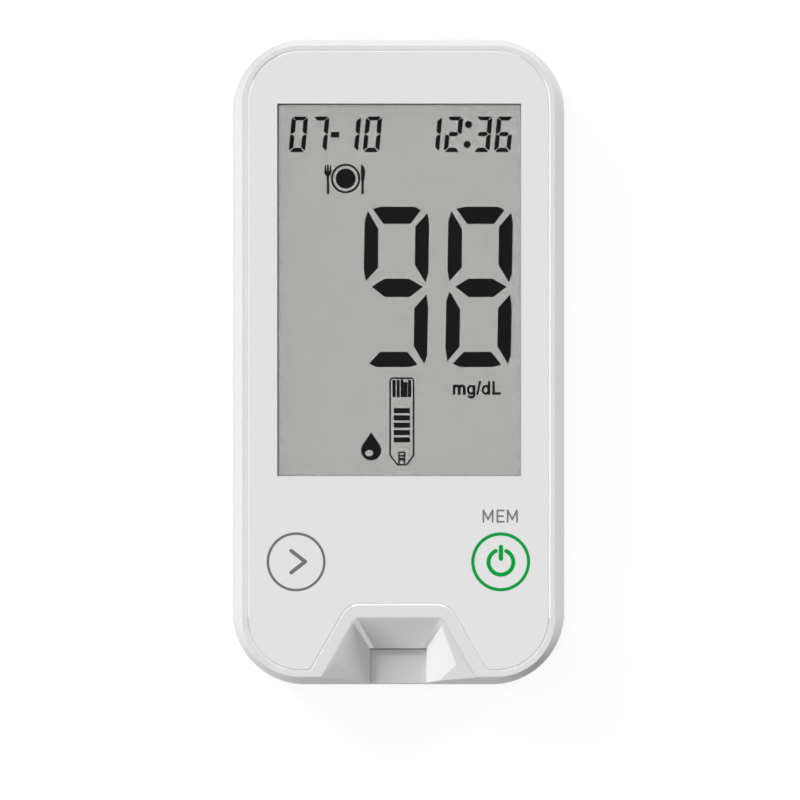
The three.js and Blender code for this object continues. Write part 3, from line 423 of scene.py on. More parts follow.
def fillet(before, corner, after, reach, steps=6):
    """Loops of a soft edge: (1-t)^2 P + 2 t (1-t) C + t^2 Q, with P and Q at reach from the corner C."""
    p, q = (
        corner + (end - corner) / np.linalg.norm(end - corner, axis=1, keepdims=True) * reach
        for end in (before, after)
    )
    t = np.linspace(0, 1, steps)[:, None, None]
    return (1 - t) ** 2 * p + 2 * t * (1 - t) * corner + t**2 * q


def front_outside(size):
    """The front shell's outside as a solid, from the parting line up to the face."""
    steps, low = size["corner_steps"], PARTING + PARTING_GAP
    rows = (
        (case_corners(PARTING_EDGE), 0, low), (case_corners(), 0, low + PARTING_EDGE),
        (case_corners(SHOULDER_INSET), 0, SHOULDER_Z), (face_corners(), 0, CASE_HEIGHT),
        (face_corners(), -1.0, CASE_HEIGHT),
    )
    foot, wall, shoulder, face, inside_face = (lift(ring(c, grow, steps), z) for c, grow, z in rows)
    soft = fillet(wall, shoulder, face, size["shoulder_round"])
    rim = fillet(shoulder, face, inside_face, size["face_round"])
    return solid(np.concatenate([foot[None], wall[None], soft, rim]))


def front_openings(size):
    """Tools for the strip port and its slot, and for the sheet's recess with the lens's pocket."""
    steps = size["corner_steps"]
    low, groove = -size["sheet_inset"], CASE_HEIGHT - size["groove_depth"]
    high = low + size["recess_bevel"]
    recess = [(RECESS, low), (groove, low), (CASE_HEIGHT, high), (OVER_FACE, high)]
    soft = size["port_round"]
    below = [(z, 0) for z in PORT_HEIGHTS if z < CASE_HEIGHT - soft - 0.01]
    mouth = [*below, *quarter(CASE_HEIGHT, soft, 1, 1, 7), (OVER_FACE, soft)]
    slot_back, slot_top = TUNNEL_END + OVERRUN, PORT_FLOOR + SLOT_HEIGHT
    relief = (SLOT_MOUTH - size["relief_width"], SLOT_MOUTH + 0.3, PORT_FLOOR - 0.6, PORT_FLOOR + 0.1)
    return cut(
        port_block(0, mouth, size["port_corner"]),
        box(-SLOT_HALF, SLOT_HALF, SLOT_MOUTH - OVERRUN, slot_back, PORT_FLOOR, slot_top),
        box(-SLOT_HALF, SLOT_HALF, *relief),
        prism(sheet_corners(), recess, steps),
        prism(window_corners(POCKET_MARGIN, POCKET_CORNER), [(POCKET_LOW, 0), (OVER_WINDOW, 0)], 4),
        prism(window_corners(VIEW_MARGIN, VIEW_CORNER), [(VIEW_LOW, 0), (OVER_WINDOW, 0)], 4),
    )


def build_front_shell():
    """The front housing: outside, strip port, bosses and guides joined, then all its openings cut."""
    size = sizes()
    steps = size["corner_steps"]
    floor, inner_top, outer_round = PORT_FLOOR - PORT_BASE, CEILING + OVERLAP, 0.3
    walls = [(z, 0) for z in (floor, *PORT_HEIGHTS)]
    port_body = carve(port_block(PORT_WALL, walls, outer_round), ("INTERSECT", front_outside(size)))
    shell = carve(
        front_outside(size),
        *cut(
            prism(case_corners(WALL), [(UNDER_FRONT, 0), (CEILING, 0)], steps),
            prism(case_corners(REBATE_INSET), [(UNDER_FRONT, 0), (LIP_TOP + LIP_GAP, 0)], steps),
        ),
        *join(
            port_body,
            box(-TUNNEL_HALF, TUNNEL_HALF, SLOT_MOUTH, TUNNEL_END, floor, PORT_FLOOR + TUNNEL_HEIGHT),
            rods(SCREWS, BOSS, LIP_TOP, inner_top),
            rods(BOARD_SCREWS, BOARD_BOSS, BOARD_TOP + OVERLAP, inner_top),
            rods(KEYS, GUIDE, GUIDE_FOOT, inner_top, 96),
        ),
        *cut(
            rods(KEYS, GUIDE_BORE, GUIDE_FOOT - OVERRUN, CEILING, 96),
            rods(KEYS, KEY_HOLE, CEILING - OVERRUN, CASE_HEIGHT, 96),
            rods(SCREWS, PILOT, PARTING, PILOT_TOP),
            rods(BOARD_SCREWS, BOARD_PILOT, BOARD_TOP - OVERRUN, BOARD_PILOT_TOP),
        ),
        *front_openings(size),
    )
    finished(shell, "front_shell", "housing", moulded_plastic(), ("front_housing",), 20)
    # Paints light and shade on the recess bevel: a lighter grey where it catches light, a darker grey where
    # it faces the upper left.
    paint_bevel_light(shell.data, CASE_HEIGHT, size["recess_bevel"])
    # Paints shade on the port's floor, right flank and right upper edge in darker greys.
    paint_port_shade_and_coat(shell.data)


def face_frames(mesh):
    """Middle in millimetres and normal of each face."""
    frames = []
    for kind in ("center", "normal"):
        values = np.empty(len(mesh.polygons) * 3)
        mesh.polygons.foreach_get(kind, values)
        frames.append(values.reshape(-1, 3))
    return frames[0] / MM, frames[1]


def give_finishes(mesh, rows):
    """Adds the material of each (faces, material) row and gives it to those faces, so a later row wins."""
    index = np.empty(len(mesh.polygons), int)
    mesh.polygons.foreach_get("material_index", index)
    for faces, material in rows:
        mesh.materials.append(material)
        index[faces] = len(mesh.materials) - 1
    mesh.polygons.foreach_set("material_index", index)


def paint_bevel_light(mesh, top, width):
    """Paints a highlight and a shade on a bevel that ends at height top.

    The bevel's faces are those whose middle is halfway down it, and whose slope is its depth by its
    width. The long sides and the top of the notch, all above the lower corners, get a lighter grey, a
    painted highlight. The rest gets a darker grey, painted shade, where it looks to the upper left.
    """
    groove = CASE_HEIGHT - sizes()["groove_depth"]
    centre, normal = face_frames(mesh)
    slope = width / math.hypot(width, top - groove)
    bevel = (abs(centre[:, 2] - (top + groove) / 2) < 0.02) & (abs(normal[:, 2] - slope) < 0.012)
    flat = normal[:, :2] / math.sqrt(1 - slope**2)
    painted_highlight = bevel & (abs(flat).max(1) > 0.9) & (centre[:, 1] > BACK_Y[0] - 0.01)
    painted_shade = bevel & ~painted_highlight & (flat[:, 1] - flat[:, 0] > 0.7)
    # The lighter grey is the painted highlight, and the darker grey the painted shade.
    give_finishes(mesh, ((painted_highlight, painted_highlight_edge()), (painted_shade, painted_shade_plastic("Painted shade edge", 214))))


def inside(points, corners):
    """Whether each point lies inside a polygon that runs anticlockwise: left of all its sides."""
    corners = np.asarray(corners, float)
    along = np.roll(corners, -1, 0) - corners
    gap = points[:, None] - corners
    return (along[:, 0] * gap[..., 1] - along[:, 1] * gap[..., 0] > 0).all(1)


def paint_port_shade_and_coat(mesh):
    """Paints shade on parts of the port in darker greys: its floor, its right outer flank, the upper edge
    of its right wall and the narrow facet in its right back corner. The facet in the left back corner
    gets a clear coat."""
    centre, normal = face_frames(mesh)
    x, y, z = centre.T
    floor = (abs(x) < BACK_HALF[1]) & (y < SLOT_MOUTH) & (abs(z - PORT_FLOOR) < 0.01) & (normal[:, 2] > 0.9)
    facet = inside(np.stack([-abs(x), y], 1), LEFT_FACET)
    facet &= (z > PORT_FLOOR + SLOT_HEIGHT) & (normal[:, 2] > 0.3)
    flank = (x > SLOT_HALF + 0.2) & (y < FLANK_BACK) & (abs(normal - FLANK_NORMAL) < 0.05).all(1)
    edge = inside(centre[:, :2], RIGHT_EDGE) & (z > RIGHT_EDGE_LOW) & (z < CASE_HEIGHT - 0.003)
    edge = edge & (normal[:, 0] < -0.1) | facet & (x >= 0)
    # The darker greys are painted shade; the left corner facet gets a clear coat instead.
    rows = (
        (floor, painted_shade_plastic("Port floor painted shade", 208)), (edge, painted_shade_plastic("Port edge painted shade", 205)),
        (flank, painted_shade_plastic("Port flank painted shade", 215)), (facet & (x < 0), polished_plastic()),
    )
    give_finishes(mesh, rows)


def rear_outside(steps):
    """The rear shell's outside as a solid: back, rounding, drafted side and the parting edge.

    The rounding's height is R (1 - cos a), and its inset is that of an ellipse quarter that ends on
    the drafted side.
    """
    z = BACK_ROUND * (1 - np.cos(np.linspace(0, np.pi / 2, 14)))
    inset = BACK_INSET + BACK_REACH * (1 - np.sqrt(1 - (1 - z / BACK_ROUND) ** 2))
    levels = [*zip(z, inset), (PARTING - PARTING_EDGE, 0.02), (PARTING, 0.02 + PARTING_EDGE)]
    return solid(np.stack([lift(ring(case_corners(i), 0, steps), h) for h, i in levels]))


def opening(radius, top):
    """Levels of a cutter that opens downwards at height 0 with a rounded rim, up to top."""
    return [(-OVERRUN, radius), *quarter(0, radius, -1, 1)[::-1], (top, 0)]


def cover_space():
    """Tools that cut the space of the battery cover and the bay with its pockets for the contacts."""
    half, rail = COVER_HALF + COVER_GAP, COVER_HALF + RAIL_REACH + COVER_GAP
    end, low, top = CASE_LENGTH / 2 + OVERRUN, COVER_THICK, BAY_TOP + OVERRUN
    tools = [
        box(-half, half, COVER_START - COVER_GAP, end, -OVERRUN, low + RAIL_GAP),
        box(-rail, rail, COVER_START + COVER_GAP, end, RAIL_LIP, low + RAIL_GAP),
        box(-half, half, BAY_HIGH + COVER_GAP, end, -OVERRUN, COVER_END + COVER_GAP),
        rods([(0, y) for y in CELLS], CELL_BORE, low, CELL_TOP, 96),
        box(-CELL_LINK, CELL_LINK, *CELLS, low, CELL_TOP),
    ]
    for y in CELLS:
        for (x0, x1, y0, y1), foot in ((SIDE_POCKET, low), (END_POCKET, CELL_TOP - OVERRUN)):
            tools.append(box(x0, x1, y + y0, y + y1, foot, top))
    return cut(*tools)


def build_rear_shell():
    """The rear housing: outside, lip, bay, bosses and posts joined, then its openings cut.

    The mouths of the screw bores and sound holes are flared, and the hollow follows the rounded back.
    """
    steps = sizes()["corner_steps"]
    lip = carve(
        prism(case_corners(LIP_INSET), [(6.0, 0), (LIP_TOP - 0.1, 0), (LIP_TOP, -0.1)], steps),
        *cut(prism(case_corners(REAR_WALL), [(5.0, 0), (LIP_TOP + OVERRUN, 0)], steps)),
    )
    flare = HEAD_BORE + 0.15
    head_bore = [(flare, -OVERRUN), (flare, 0), (HEAD_BORE, 0.15), (HEAD_BORE, HEAD_DEPTH)]
    sound_hole = [(0.62, -OVERRUN), (0.62, 0), (0.5, 0.12), (0.5, 2.6)]
    cross = np.array([(0, 0), (1, 0), (-1, 0), (0, 1), (0, -1)])
    shell = carve(
        rear_outside(steps),
        *cut(solid(np.stack([lift(ring(case_corners(i), 0, steps), z) for z, i in REAR_HOLLOW]))),
        *join(
            lip,
            box(-BAY_HALF, BAY_HALF, BAY_LOW, BAY_HIGH, BACK_THICK, BAY_TOP),
            box(-RAIL_HALF, RAIL_HALF, BAY_LOW, BAY_HIGH, BACK_THICK, RAIL_TOP),
            rods(SCREWS, BOSS, BACK_THICK, LIP_TOP - 0.2),
            rods(POSTS, POST, BACK_THICK, POST_TOP),
        ),
        *cut(
            turned(head_bore, 48, SCREWS), rods(SCREWS, SHANK_BORE, -OVERRUN, LIP_TOP),
            turned(sound_hole, 24, SOUND_PLACE + SOUND_PITCH * cross),
            prism(rectangle(*LABEL_RECESS), opening(0.06, 0.2), 8),
        ),
        *cover_space(),
    )
    finished(shell, "rear_shell", "housing", moulded_plastic(), ("rear_housing",))


def build_cover():
    """The battery cover: a plate with an end wall, hollowed, joined with its rails and crossed with
    the rear shell's outside, then cut by a row of grip grooves."""
    end, rail, hollow_half = CASE_LENGTH / 2 + OVERRUN, COVER_HALF + RAIL_REACH, 15.0
    outline = rectangle(-COVER_HALF, COVER_HALF, COVER_START, end, 0.3)
    hollow_end = CASE_LENGTH / 2 - COVER_THICK
    rail_start, rail_low = COVER_START + 0.4, RAIL_LIP + RAIL_GAP
    first, pitch, wide, half, count = COVER_START + 4.8, 1.5, 0.7, 6.0, 5
    grips = [rectangle(-half, half, y, y + wide, 0.3) for y in first + pitch * np.arange(count)]
    cover = carve(
        prism(outline, [(0, -0.1), (0.1, 0), (COVER_END, 0)], 4),
        *cut(box(-hollow_half, hollow_half, 0, hollow_end, COVER_THICK, COVER_END + OVERRUN)),
        *join(box(-rail, rail, rail_start, end, rail_low, COVER_THICK)),
        ("INTERSECT", rear_outside(sizes()["corner_steps"])),
        *cut(*[prism(grip, opening(0.12, 0.4), 5) for grip in grips]),
    )
    finished(cover, "cover_shell", "cover", moulded_plastic(), ("battery_cover",))


def build_sheet():
    """The printed sheet: a plate with a rounded rim, its window and the two key holes."""
    size = sizes()
    steps = size["corner_steps"]
    out, groove = -size["sheet_inset"] - size["sheet_slit"], CASE_HEIGHT - size["groove_depth"]
    rim = [(groove, out), (SHEET_TOP, out - size["sheet_bevel"])]
    under, over = SHEET_LOW - OVERRUN, SHEET_TOP + 0.55
    soft = 0.03
    window = [(under, 0), *quarter(SHEET_TOP, soft, 1, 1, 4), (over, soft)]
    hole = size["key_radius"] + size["key_slit"]
    rounded = [(hole + g, z) for z, g in quarter(SHEET_TOP, size["key_round"], 1, 1, 4)]
    sheet = carve(
        prism(sheet_corners(), [(SHEET_LOW, out), *rim], steps),
        *cut(
            prism(rectangle(*PRINTED_WINDOW, 0.12), window, 4),
            turned([(hole, under), *rounded, (rounded[-1][0], over)], 128, KEYS),
        ),
    )
    finished(sheet, "face_sheet", "housing", sheet_film(), ("front_sheet",), 20)
    # Paints light and shade on the sheet's bevel, as on the recess bevel.
    paint_bevel_light(sheet.data, SHEET_TOP, size["sheet_bevel"])


def build_keys():
    """The two key caps: a stem, a flange, a straight side and a rounded rim, turned about Z."""
    size = sizes()
    radius, neck = size["key_radius"], size["key_radius"] - 0.06
    rim = [(radius + g, z) for z, g in quarter(SHEET_TOP, size["key_round"], 1, -1)]
    stem = [(1.4, 11.5), (1.5, 11.6), (1.5, 12.05), (1.7, 12.25)]
    flange = [(5.2, 12.25), (5.3, 12.35), (5.3, 13.15), (5.2, 13.25)]
    side = [(neck, 13.25), (neck, 14.4), (radius, 14.9)]
    for name, place in zip(("next", "power"), KEYS):
        cap = turned([*stem, *flange, *side, *rim], 128, [place])
        finished(cap, f"{name}_cap", f"{name}_button", sheet_film(), (f"{name}_key",), 28)


def screw_profile(radius, head, head_height, tip, z):
    """A screw's profile, its thread a run of ridges: the radius goes down and up at each turn."""
    pitch, core, low, high = 0.45, 0.86, 0.1, 0.32
    ridge = np.arange(math.floor((tip - radius) / pitch))
    rise = np.repeat(ridge * pitch, 2) + np.tile([low, high], len(ridge))
    thread = np.stack([np.tile([radius * core, radius], len(ridge)), rise], 1)
    soft = head_height * 0.35
    profile = [
        (head - soft, -head_height), (head - soft * 0.3, -head_height + soft * 0.3),
        (head, -head_height + soft), (head, -0.08), (head - 0.08, 0), (radius * 0.9, 0),
        *thread[1:], (radius * 0.45, tip),
    ]
    return [(r, z + h) for r, h in profile]


def build_screws():
    """Cross-head screws: four through the rear housing and two through the board."""
    rows = [
        ("housing_screw", SCREWS, 1.0, 1.8, 1.4, 10.0, 2.4, 1.0),
        ("board_screw", BOARD_SCREWS, 0.8, 1.5, 0.9, 4.2, 7.65, 0.9),
    ]
    slim = 0.22
    for name, places, radius, head, height, tip, z, arm in rows:
        low, foot, depth = z - height - OVERRUN, z - height, z - height + min(0.7, height / 2)
        levels = [(low, 0.05), (foot, 0.05), (depth, -0.05)]
        for i, (x, y) in enumerate(places):
            slots = [rectangle(x - a, x + a, y - b, y + b, 0.1) for a, b in ((arm, slim), (slim, arm))]
            screw = carve(
                turned(screw_profile(radius, head, height, tip, z), 40, [(x, y)]),
                *cut(*[prism(slot, levels, 3) for slot in slots]),
            )
            finished(screw, f"{name}_fine_{i + 1}", "housing", plated_steel(), (f"{name}_{i + 1}",))


def build_cells():
    """Coin cells: the can with a stepped rim, and the smaller cap on the board's side."""
    profile = [
        (7.9, 1.9), (8.0, 1.93), (8.15, 1.93), (8.25, 1.9), (9.65, 1.9), (9.85, 1.95), (9.96, 2.08),
        (10.0, 2.25), (10.0, 4.5), (9.93, 4.68), (9.75, 4.8), (9.1, 4.8), (9.0, 4.72), (8.75, 4.72),
        (8.7, 4.8), (8.62, 5.02), (8.4, 5.1),
    ]
    for name, y in zip(("lower", "upper"), CELLS):
        cell = turned(profile, 96, [(0, y)])
        finished(cell, f"{name}_cell", "housing", plated_steel(), (f"{name}_coin_cell",))


# Drawing units of the front view: 6.579 to the millimetre, counted from its upper left
UNITS, UNIT_X, UNIT_Y = 6.579, 398.4, 361.85


def drawn(points):
    """Millimetres of points given in drawing units."""
    points = np.asarray(points, float)
    return np.stack([(points[..., 0] - UNIT_X) / UNITS, (UNIT_Y - points[..., 1]) / UNITS], -1)


def ordered(points):
    """The same outline run anticlockwise: its shoelace area decides."""
    x, y = points[:, 0], points[:, 1]
    area = (x * np.roll(y, -1) - np.roll(x, -1) * y).sum()
    return points if area > 0 else points[::-1]


def inlay(outlines, z, height):
    """Flat closed prisms on the outlines, each grown by the ink's spread, as one object."""
    spread = sizes()["ink_spread"]
    made = []
    for points in outlines:
        points = ordered(np.asarray(points, float))
        points = ring(np.pad(points, ((0, 0), (0, 1))), spread, 1)
        made.append(solid(np.stack([lift(points, z), lift(points, z + height)])))
    return merged(made)


def band(inner, outer, z, height):
    """A closed band between two outlines with as many points."""
    loops = np.stack([lift(inner, z), lift(outer, z), lift(outer, z + height), lift(inner, z + height)])
    return solid(loops, wrap=True)


def merged(objects):
    """One object that holds the meshes of all."""
    shape = bmesh.new()
    for made in objects:
        shape.from_mesh(made.data)
    mesh = bpy.data.meshes.new("work")
    shape.to_mesh(mesh)
    shape.free()
    for made in objects:
        bpy.data.objects.remove(made)
    return linked(mesh, "work")


def stroke(points, width, caps=True, steps=8):
    """Outline of a line of that width: each point moves along its mitre, and the ends are round.

    The mitre is the mean of the two neighbours' normals, drawn out by one over its cosine.
    """
    points = np.asarray(points, float)
    along = np.diff(points, axis=0)
    along /= np.linalg.norm(along, axis=1, keepdims=True)
    normal = np.stack([-along[:, 1], along[:, 0]], 1)
    mean = np.concatenate([normal[:1], (normal[:-1] + normal[1:]) / 2, normal[-1:]])
    mean /= (mean**2).sum(1, keepdims=True)
    left, right = points + mean * width / 2, points - mean * width / 2
    if not caps:
        return np.concatenate([left, right[::-1]])
    angle = np.linspace(np.pi / 2, -np.pi / 2, steps)[1:-1, None]
    ends = ((points[-1], normal[-1], along[-1]), (points[0], -normal[0], -along[0]))
    last, first = (
        place + width / 2 * (np.sin(angle) * side + np.cos(angle) * ahead) for place, side, ahead in ends
    )
    return np.concatenate([left, last, right[::-1], first])


def arc(x, y, radius, start, end, count=24):
    """Points of an arc between two angles in degrees."""
    angle = np.radians(np.linspace(start, end, count))
    return np.stack([x + radius * np.cos(angle), y + radius * np.sin(angle)], 1)


# Outlines of the large digit's seven segments, in millimetres
LARGE = {
    "a": [(8.87, 23.24), (10.03, 23.55), (15.2, 23.55), (16.08, 23.04), (14.52, 21.0), (10.45, 21.0)],
    "f": [(8.08, 22.85), (9.64, 20.19), (9.6, 14.34), (7.77, 12.35), (7.48, 14.0), (7.62, 21.38)],
    "b": [(17.12, 22.6), (17.37, 21.0), (17.24, 13.49), (16.81, 12.13), (15.24, 14.76), (15.32, 20.53)],
    "g": [(8.72, 11.42), (10.62, 12.61), (14.3, 12.61), (16.39, 11.42), (14.44, 9.88), (10.67, 9.88)],
    "e": [(7.77, 10.66), (9.35, 8.01), (9.26, 2.29), (7.45, 0.17), (7.18, 2.12), (7.31, 9.25)],
    "c": [(16.95, 10.18), (17.2, 8.4), (17.07, 1.02), (16.64, -0.25), (15.07, 2.38), (15.17, 8.15)],
    "d": [(8.3, -0.25), (9.94, 1.48), (14.07, 1.48), (15.58, -0.42), (14.35, -0.76), (9.35, -0.76)],
}
# Outlines of the small digit's segments in drawing units, before it is slanted, and its lower edge
SLANT, SMALL_FOOT = 0.092, 151.9
SIDE_HIGH = np.array([(0, 18.7), (1.4, 18.2), (4.1, 20.4), (4.15, 30.9), (0.6, 33.7), (0.05, 32.8)])
SIDE_LOW = np.array([(0, 16.9), (0, 2.4), (0.75, 1.8), (3.95, 4.8), (3.95, 15.2), (2.2, 16.9)])
SMALL = {
    "a": np.array([(4.2, 31.7), (11.9, 31.7), (14.4, 34.7), (14.1, 35.1), (2.0, 35.1), (1.7, 34.7)]),
    "b": (16.05, 0) + SIDE_HIGH * (-1, 1),
    "c": (16.05, 0) + SIDE_LOW * (-1, 1),
    "d": np.array([(1.9, 0), (14.1, 0), (14.3, 0.6), (11.4, 3.9), (4.7, 3.9), (1.85, 0.7)]),
    "e": SIDE_LOW,
    "f": SIDE_HIGH,
    "g": np.array([(3.4, 17.3), (4.6, 15.9), (11.1, 15.9), (12.8, 17.6), (11.4, 19.7), (5.0, 19.7)]),
}
LIT = {
    "0": "abcdef", "1": "bc", "2": "abged", "3": "abgcd", "6": "acdefg", "7": "abc", "8": "abcdefg",
    "9": "abcdfg",
}


def small_digit(value, left):
    """Outlines of a slanted digit: x = left + x + slant y, with y up from its lower edge."""
    parts = [SMALL[s] for s in LIT[value]]
    return [drawn(np.stack([left + p[:, 0] + p[:, 1] * SLANT, SMALL_FOOT - p[:, 1]], 1)) for p in parts]


def bar(x0, y0, x1, y1):
    """A rectangle in drawing units."""
    return drawn([(x0, y0), (x1, y0), (x1, y1), (x0, y1)])


def oval(x, y, wide, tall, count=64):
    """An ellipse in drawing units, run anticlockwise in millimetres."""
    return ordered(drawn((wide, tall) * circle(1, count) + (x, y)))


def drop_outline():
    """A drop: the arc of a circle between the two lines that touch it from the tip."""
    x, y, radius, tip = 371.1, 450.3, 9.9, 17.6
    open_angle = math.degrees(math.acos(radius / tip))
    round_part = arc(0, 0, radius, 90 + open_angle, 450 - open_angle, 40)
    points = np.concatenate([round_part, [(0, tip)]])
    return drawn(np.stack([x + points[:, 0], y - points[:, 1]], 1))


def meal_icon():
    """Fork and knife beside a plate."""
    fork = [
        (327.0, 193.9), (328.9, 193.9), (328.9, 176.1), (330.5, 174.6), (331.2, 172.4), (330.9, 165.6),
        (330.3, 165.6), (329.8, 171.3), (328.9, 171.3), (328.4, 164.8), (327.2, 164.8), (327.0, 171.3),
        (326.1, 171.3), (325.8, 165.6), (325.2, 165.6), (324.3, 172.6), (325.0, 174.5), (327.0, 176.1),
    ]
    knife = [
        (361.6, 193.9), (363.6, 193.9), (363.6, 180.6), (364.1, 180.2), (364.6, 176.0), (364.95, 172.0),
        (364.8, 169.6), (363.9, 167.2), (362.4, 165.2), (361.2, 164.7), (361.1, 180.4), (361.6, 180.7),
    ]
    return [drawn(fork), drawn(knife), oval(345.65, 178.6, 9.7, 9.8)]


def strip_corners():
    """The strip icon's outline with its tapered end, as corners for ring()."""
    left, right, waist = 390.1, 413.6, 455.6
    rows = [
        (397.6, 464.7, 1.4), (406.5, 464.7, 1.4), (right, waist, 1.4), (right, 378.2, 2.6),
        (left, 378.2, 2.6), (left, waist, 1.4),
    ]
    return [(*drawn((x, y)), r / UNITS) for x, y, r in rows]


def strip_icon(z, height):
    """The strip icon: its edge, and the bars, contact and slot inside it."""
    bars = [bar(394.0, y, 409.7, y + 4.65) for y in (408.3, 415.6, 422.9, 430.25, 437.55)]
    bars += [bar(x0, 380.1, x1, 396.9) for x0, x1 in ((392.6, 395.55), (396.9, 399.5), (408.1, 411.0))]
    step = [(400.8, 379.6), (403.2, 379.6), (403.2, 382.3), (407.3, 382.3), (407.3, 396.9), (400.8, 396.9)]
    bars += [drawn(step)]
    bars += [bar(398.4, 451.9, 399.5, 463.9), bar(404.1, 451.9, 405.2, 463.9)]
    bars += [bar(399.55, y0, 404.05, y1) for y0, y1 in ((451.9, 452.9), (455.2, 456.3), (458.0, 460.4))]
    edge = band(ring(strip_corners(), -0.125, 5), ring(strip_corners(), 0.125, 5), z, height)
    return merged([edge, inlay(bars, z, height)])


def window_shadow_band(z, height):
    """A dark band round the display, a painted shadow of the window's edge: thicker at the left and top,
    where the shade falls, and running on under the sheet.
    """
    left, right, low, high = PRINTED_WINDOW
    # The painted shadow is wider at the left and top, where the window's edge shades the film.
    thick, thin, under = 0.26, 0.16, 1.0
    outer = ring(rectangle(left - under, right + under, low - under, high + under), 0, 1)
    inner = ring(rectangle(left + thick, right - thin, low + thin, high - thick), 0, 1)
    return band(inner, outer, z, height)


def build_display():
    """The lit segments and icons: thin inlays on the display's film; and a dark band round them, a painted
    shadow of the window's edge.
    """
    z, height = FILM_TOP + 0.004, 0.02
    digits = [np.add(LARGE[s], (shift, 0)) for value, shift in (("8", 0), ("9", -12.72)) for s in LIT[value]]
    rows = [
        ("0", 288.8), ("7", 310.1), ("1", 341.8), ("0", 362.9), ("1", 422.8), ("2", 443.8), ("3", 473.1),
        ("6", 494.1),
    ]
    small = [outline for value, left in rows for outline in small_digit(value, left)]
    small += [bar(331.1, 132.2, 338.9, 137.3)]
    small += [oval(x, y, 3.35, 3.35, 32) for x, y in ((468.5, 124.5), (467.1, 144.5))]
    plate = band(oval(345.6, 178.5, 12.6, 12.7), oval(345.6, 178.5, 14.7, 14.8), z, height)
    spot = solid(np.stack([lift(oval(369.1, 453.2, 3.9, 3.15), h) for h in (12, 13)]))
    pieces = {
        "reading_digits": inlay(digits, z, height),
        "date_and_time": inlay(small, z, height),
        "meal_icon": merged([plate, inlay(meal_icon(), z, height)]),
        "strip_icon": strip_icon(z, height),
        "drop_icon": carve(inlay([drop_outline()], z, height), *cut(spot)),
        "unit_legend": unit_letters(z, height),
    }
    for name, piece in pieces.items():
        finished(piece, name, "housing", segment_ink())
    # A dark band round the display: a painted shadow of the window's edge.
    window_shade = print_ink("Display painted shadow", paint("window_shade"))
    finished(window_shadow_band(z, height), "window_shadow_band", "housing", window_shade)


def drawn_stroke(points, width, caps=False):
    """Outline of a line in drawing units."""
    return stroke(drawn(points), width / UNITS, caps)


def united(outlines, z, height, *others):
    """Prisms on the outlines and other pieces, joined to one solid."""
    first, *rest = [inlay([points], z, height) for points in outlines]
    return carve(first, *join(*rest, *others))


def unit_letters(z, height):
    """The letters of the unit, from strokes of one width."""
    wide, line = 2.4, 394.6
    arches = [
        np.concatenate([arc(x, 388.2, 2.35, 200, 360, 14), [(x + 2.35, line)]]) for x in (456.75, 461.85)
    ]
    m = [bar(453.0, 385.0, 455.0, line), *[drawn_stroke(arch, wide) for arch in arches]]
    hook = np.concatenate([[(474.3, 392)], arc(471.1, line, 3.2, 5, 150, 16) * (1, 0.9) + (0, 39.3)])
    g = [bar(473.3, 385.1, 475.2, 394.9), drawn_stroke(hook, 2.05)]
    slash = drawn([(476.5, line), (478.2, line), (480.85, 381.4), (479.15, 381.4)])
    d = [bar(488.1, 381.4, 490.0, line)]
    el = [(492.5, 381.4), (494.6, 381.4), (494.6, 392.4), (500.5, 392.4), (500.5, line), (492.5, line)]
    bowls = [
        band(oval(x, 389.8, 1.7, 2.7, 40), oval(x, 389.8, 4.1, 5.05, 40), z, height) for x in (471.0, 485.7)
    ]
    letters = [united(m, z, height), united(g, z, height, bowls[0]), united(d, z, height, bowls[1])]
    return merged([*letters, inlay([slash, drawn(el)], z, height)])


def legend_letters(z, height):
    """The letters MEM, from upright bars and a V between them."""
    letters = []
    for left, right in ((483.4, 492.6), (507.6, 516.95)):
        middle = (left + right) / 2
        valley = drawn_stroke([(left, 510.3), (middle, 519.4), (right, 510.3)], 1.15)
        bars = [bar(x - 0.55, 509.8, x + 0.55, 522.4) for x in (left, right)]
        letters.append(united([*bars, valley], z, height))
    e = [bar(496.8, 509.9, 497.95, 522.4)]
    e += [bar(497.0, y, end, y + 1.15) for y, end in ((509.9, 504.3), (515.55, 503.4), (521.2, 504.3))]
    return merged([*letters, united(e, z, height)])


def ring_print(x, inner, radius, z, height):
    """The ring round a key: a thin band on the cap's top that laps over its edge."""
    low, top, lip, out = z - 0.35, z + height, radius + 0.004, radius + 0.016
    profile = [(inner, z), (lip, z), (lip, low), (out, low), (out, z), (radius, top), (inner, top)]
    return turned(profile, 128, [(x, KEY_Y)], wrap=True)


def build_print():
    """Print on the sheet and the keys: the legend, the two rings, the arrow and the power sign."""
    size = sizes()
    z, height = SHEET_TOP + 0.003, size["print_height"]
    grey, green = (print_ink(f"{tone} print", paint(f"print_{tone.lower()}")) for tone in ("Grey", "Green"))
    finished(legend_letters(z, height), "memory_legend", "housing", grey)
    arrow = [stroke(drawn([(305.2, 561.65), (291.2, end)]), 0.5) for end in (550.8, 572.5)]
    power = [stroke(arc(*drawn((500.9, 562.25)), 1.885, 115, 425, 48), 0.55)]
    power += [stroke(drawn([(500.9, 546.9), (500.9, 558.7)]), 0.6)]
    rows = [
        ("next", -KEY_X, size["grey_ring"], united(arrow, z, height), grey),
        ("power", KEY_X, size["green_ring"], inlay(power, z, height), green),
    ]
    for name, x, inner, sign, ink in rows:
        whole = merged([ring_print(x, inner, size["key_radius"], z, height), sign])
        finished(whole, f"{name}_print", f"{name}_button", ink)


def fill(node, values):
    """Sets a node's inputs, given by name or number."""
    for key, value in values.items():
        node.inputs[key].default_value = value


def added(tree, kind, values=(), **settings):
    """A new node with its settings, and with its inputs filled."""
    made = tree.nodes.new(kind)
    for key, value in settings.items():
        setattr(made, key, value)
    fill(made, dict(values))
    return made


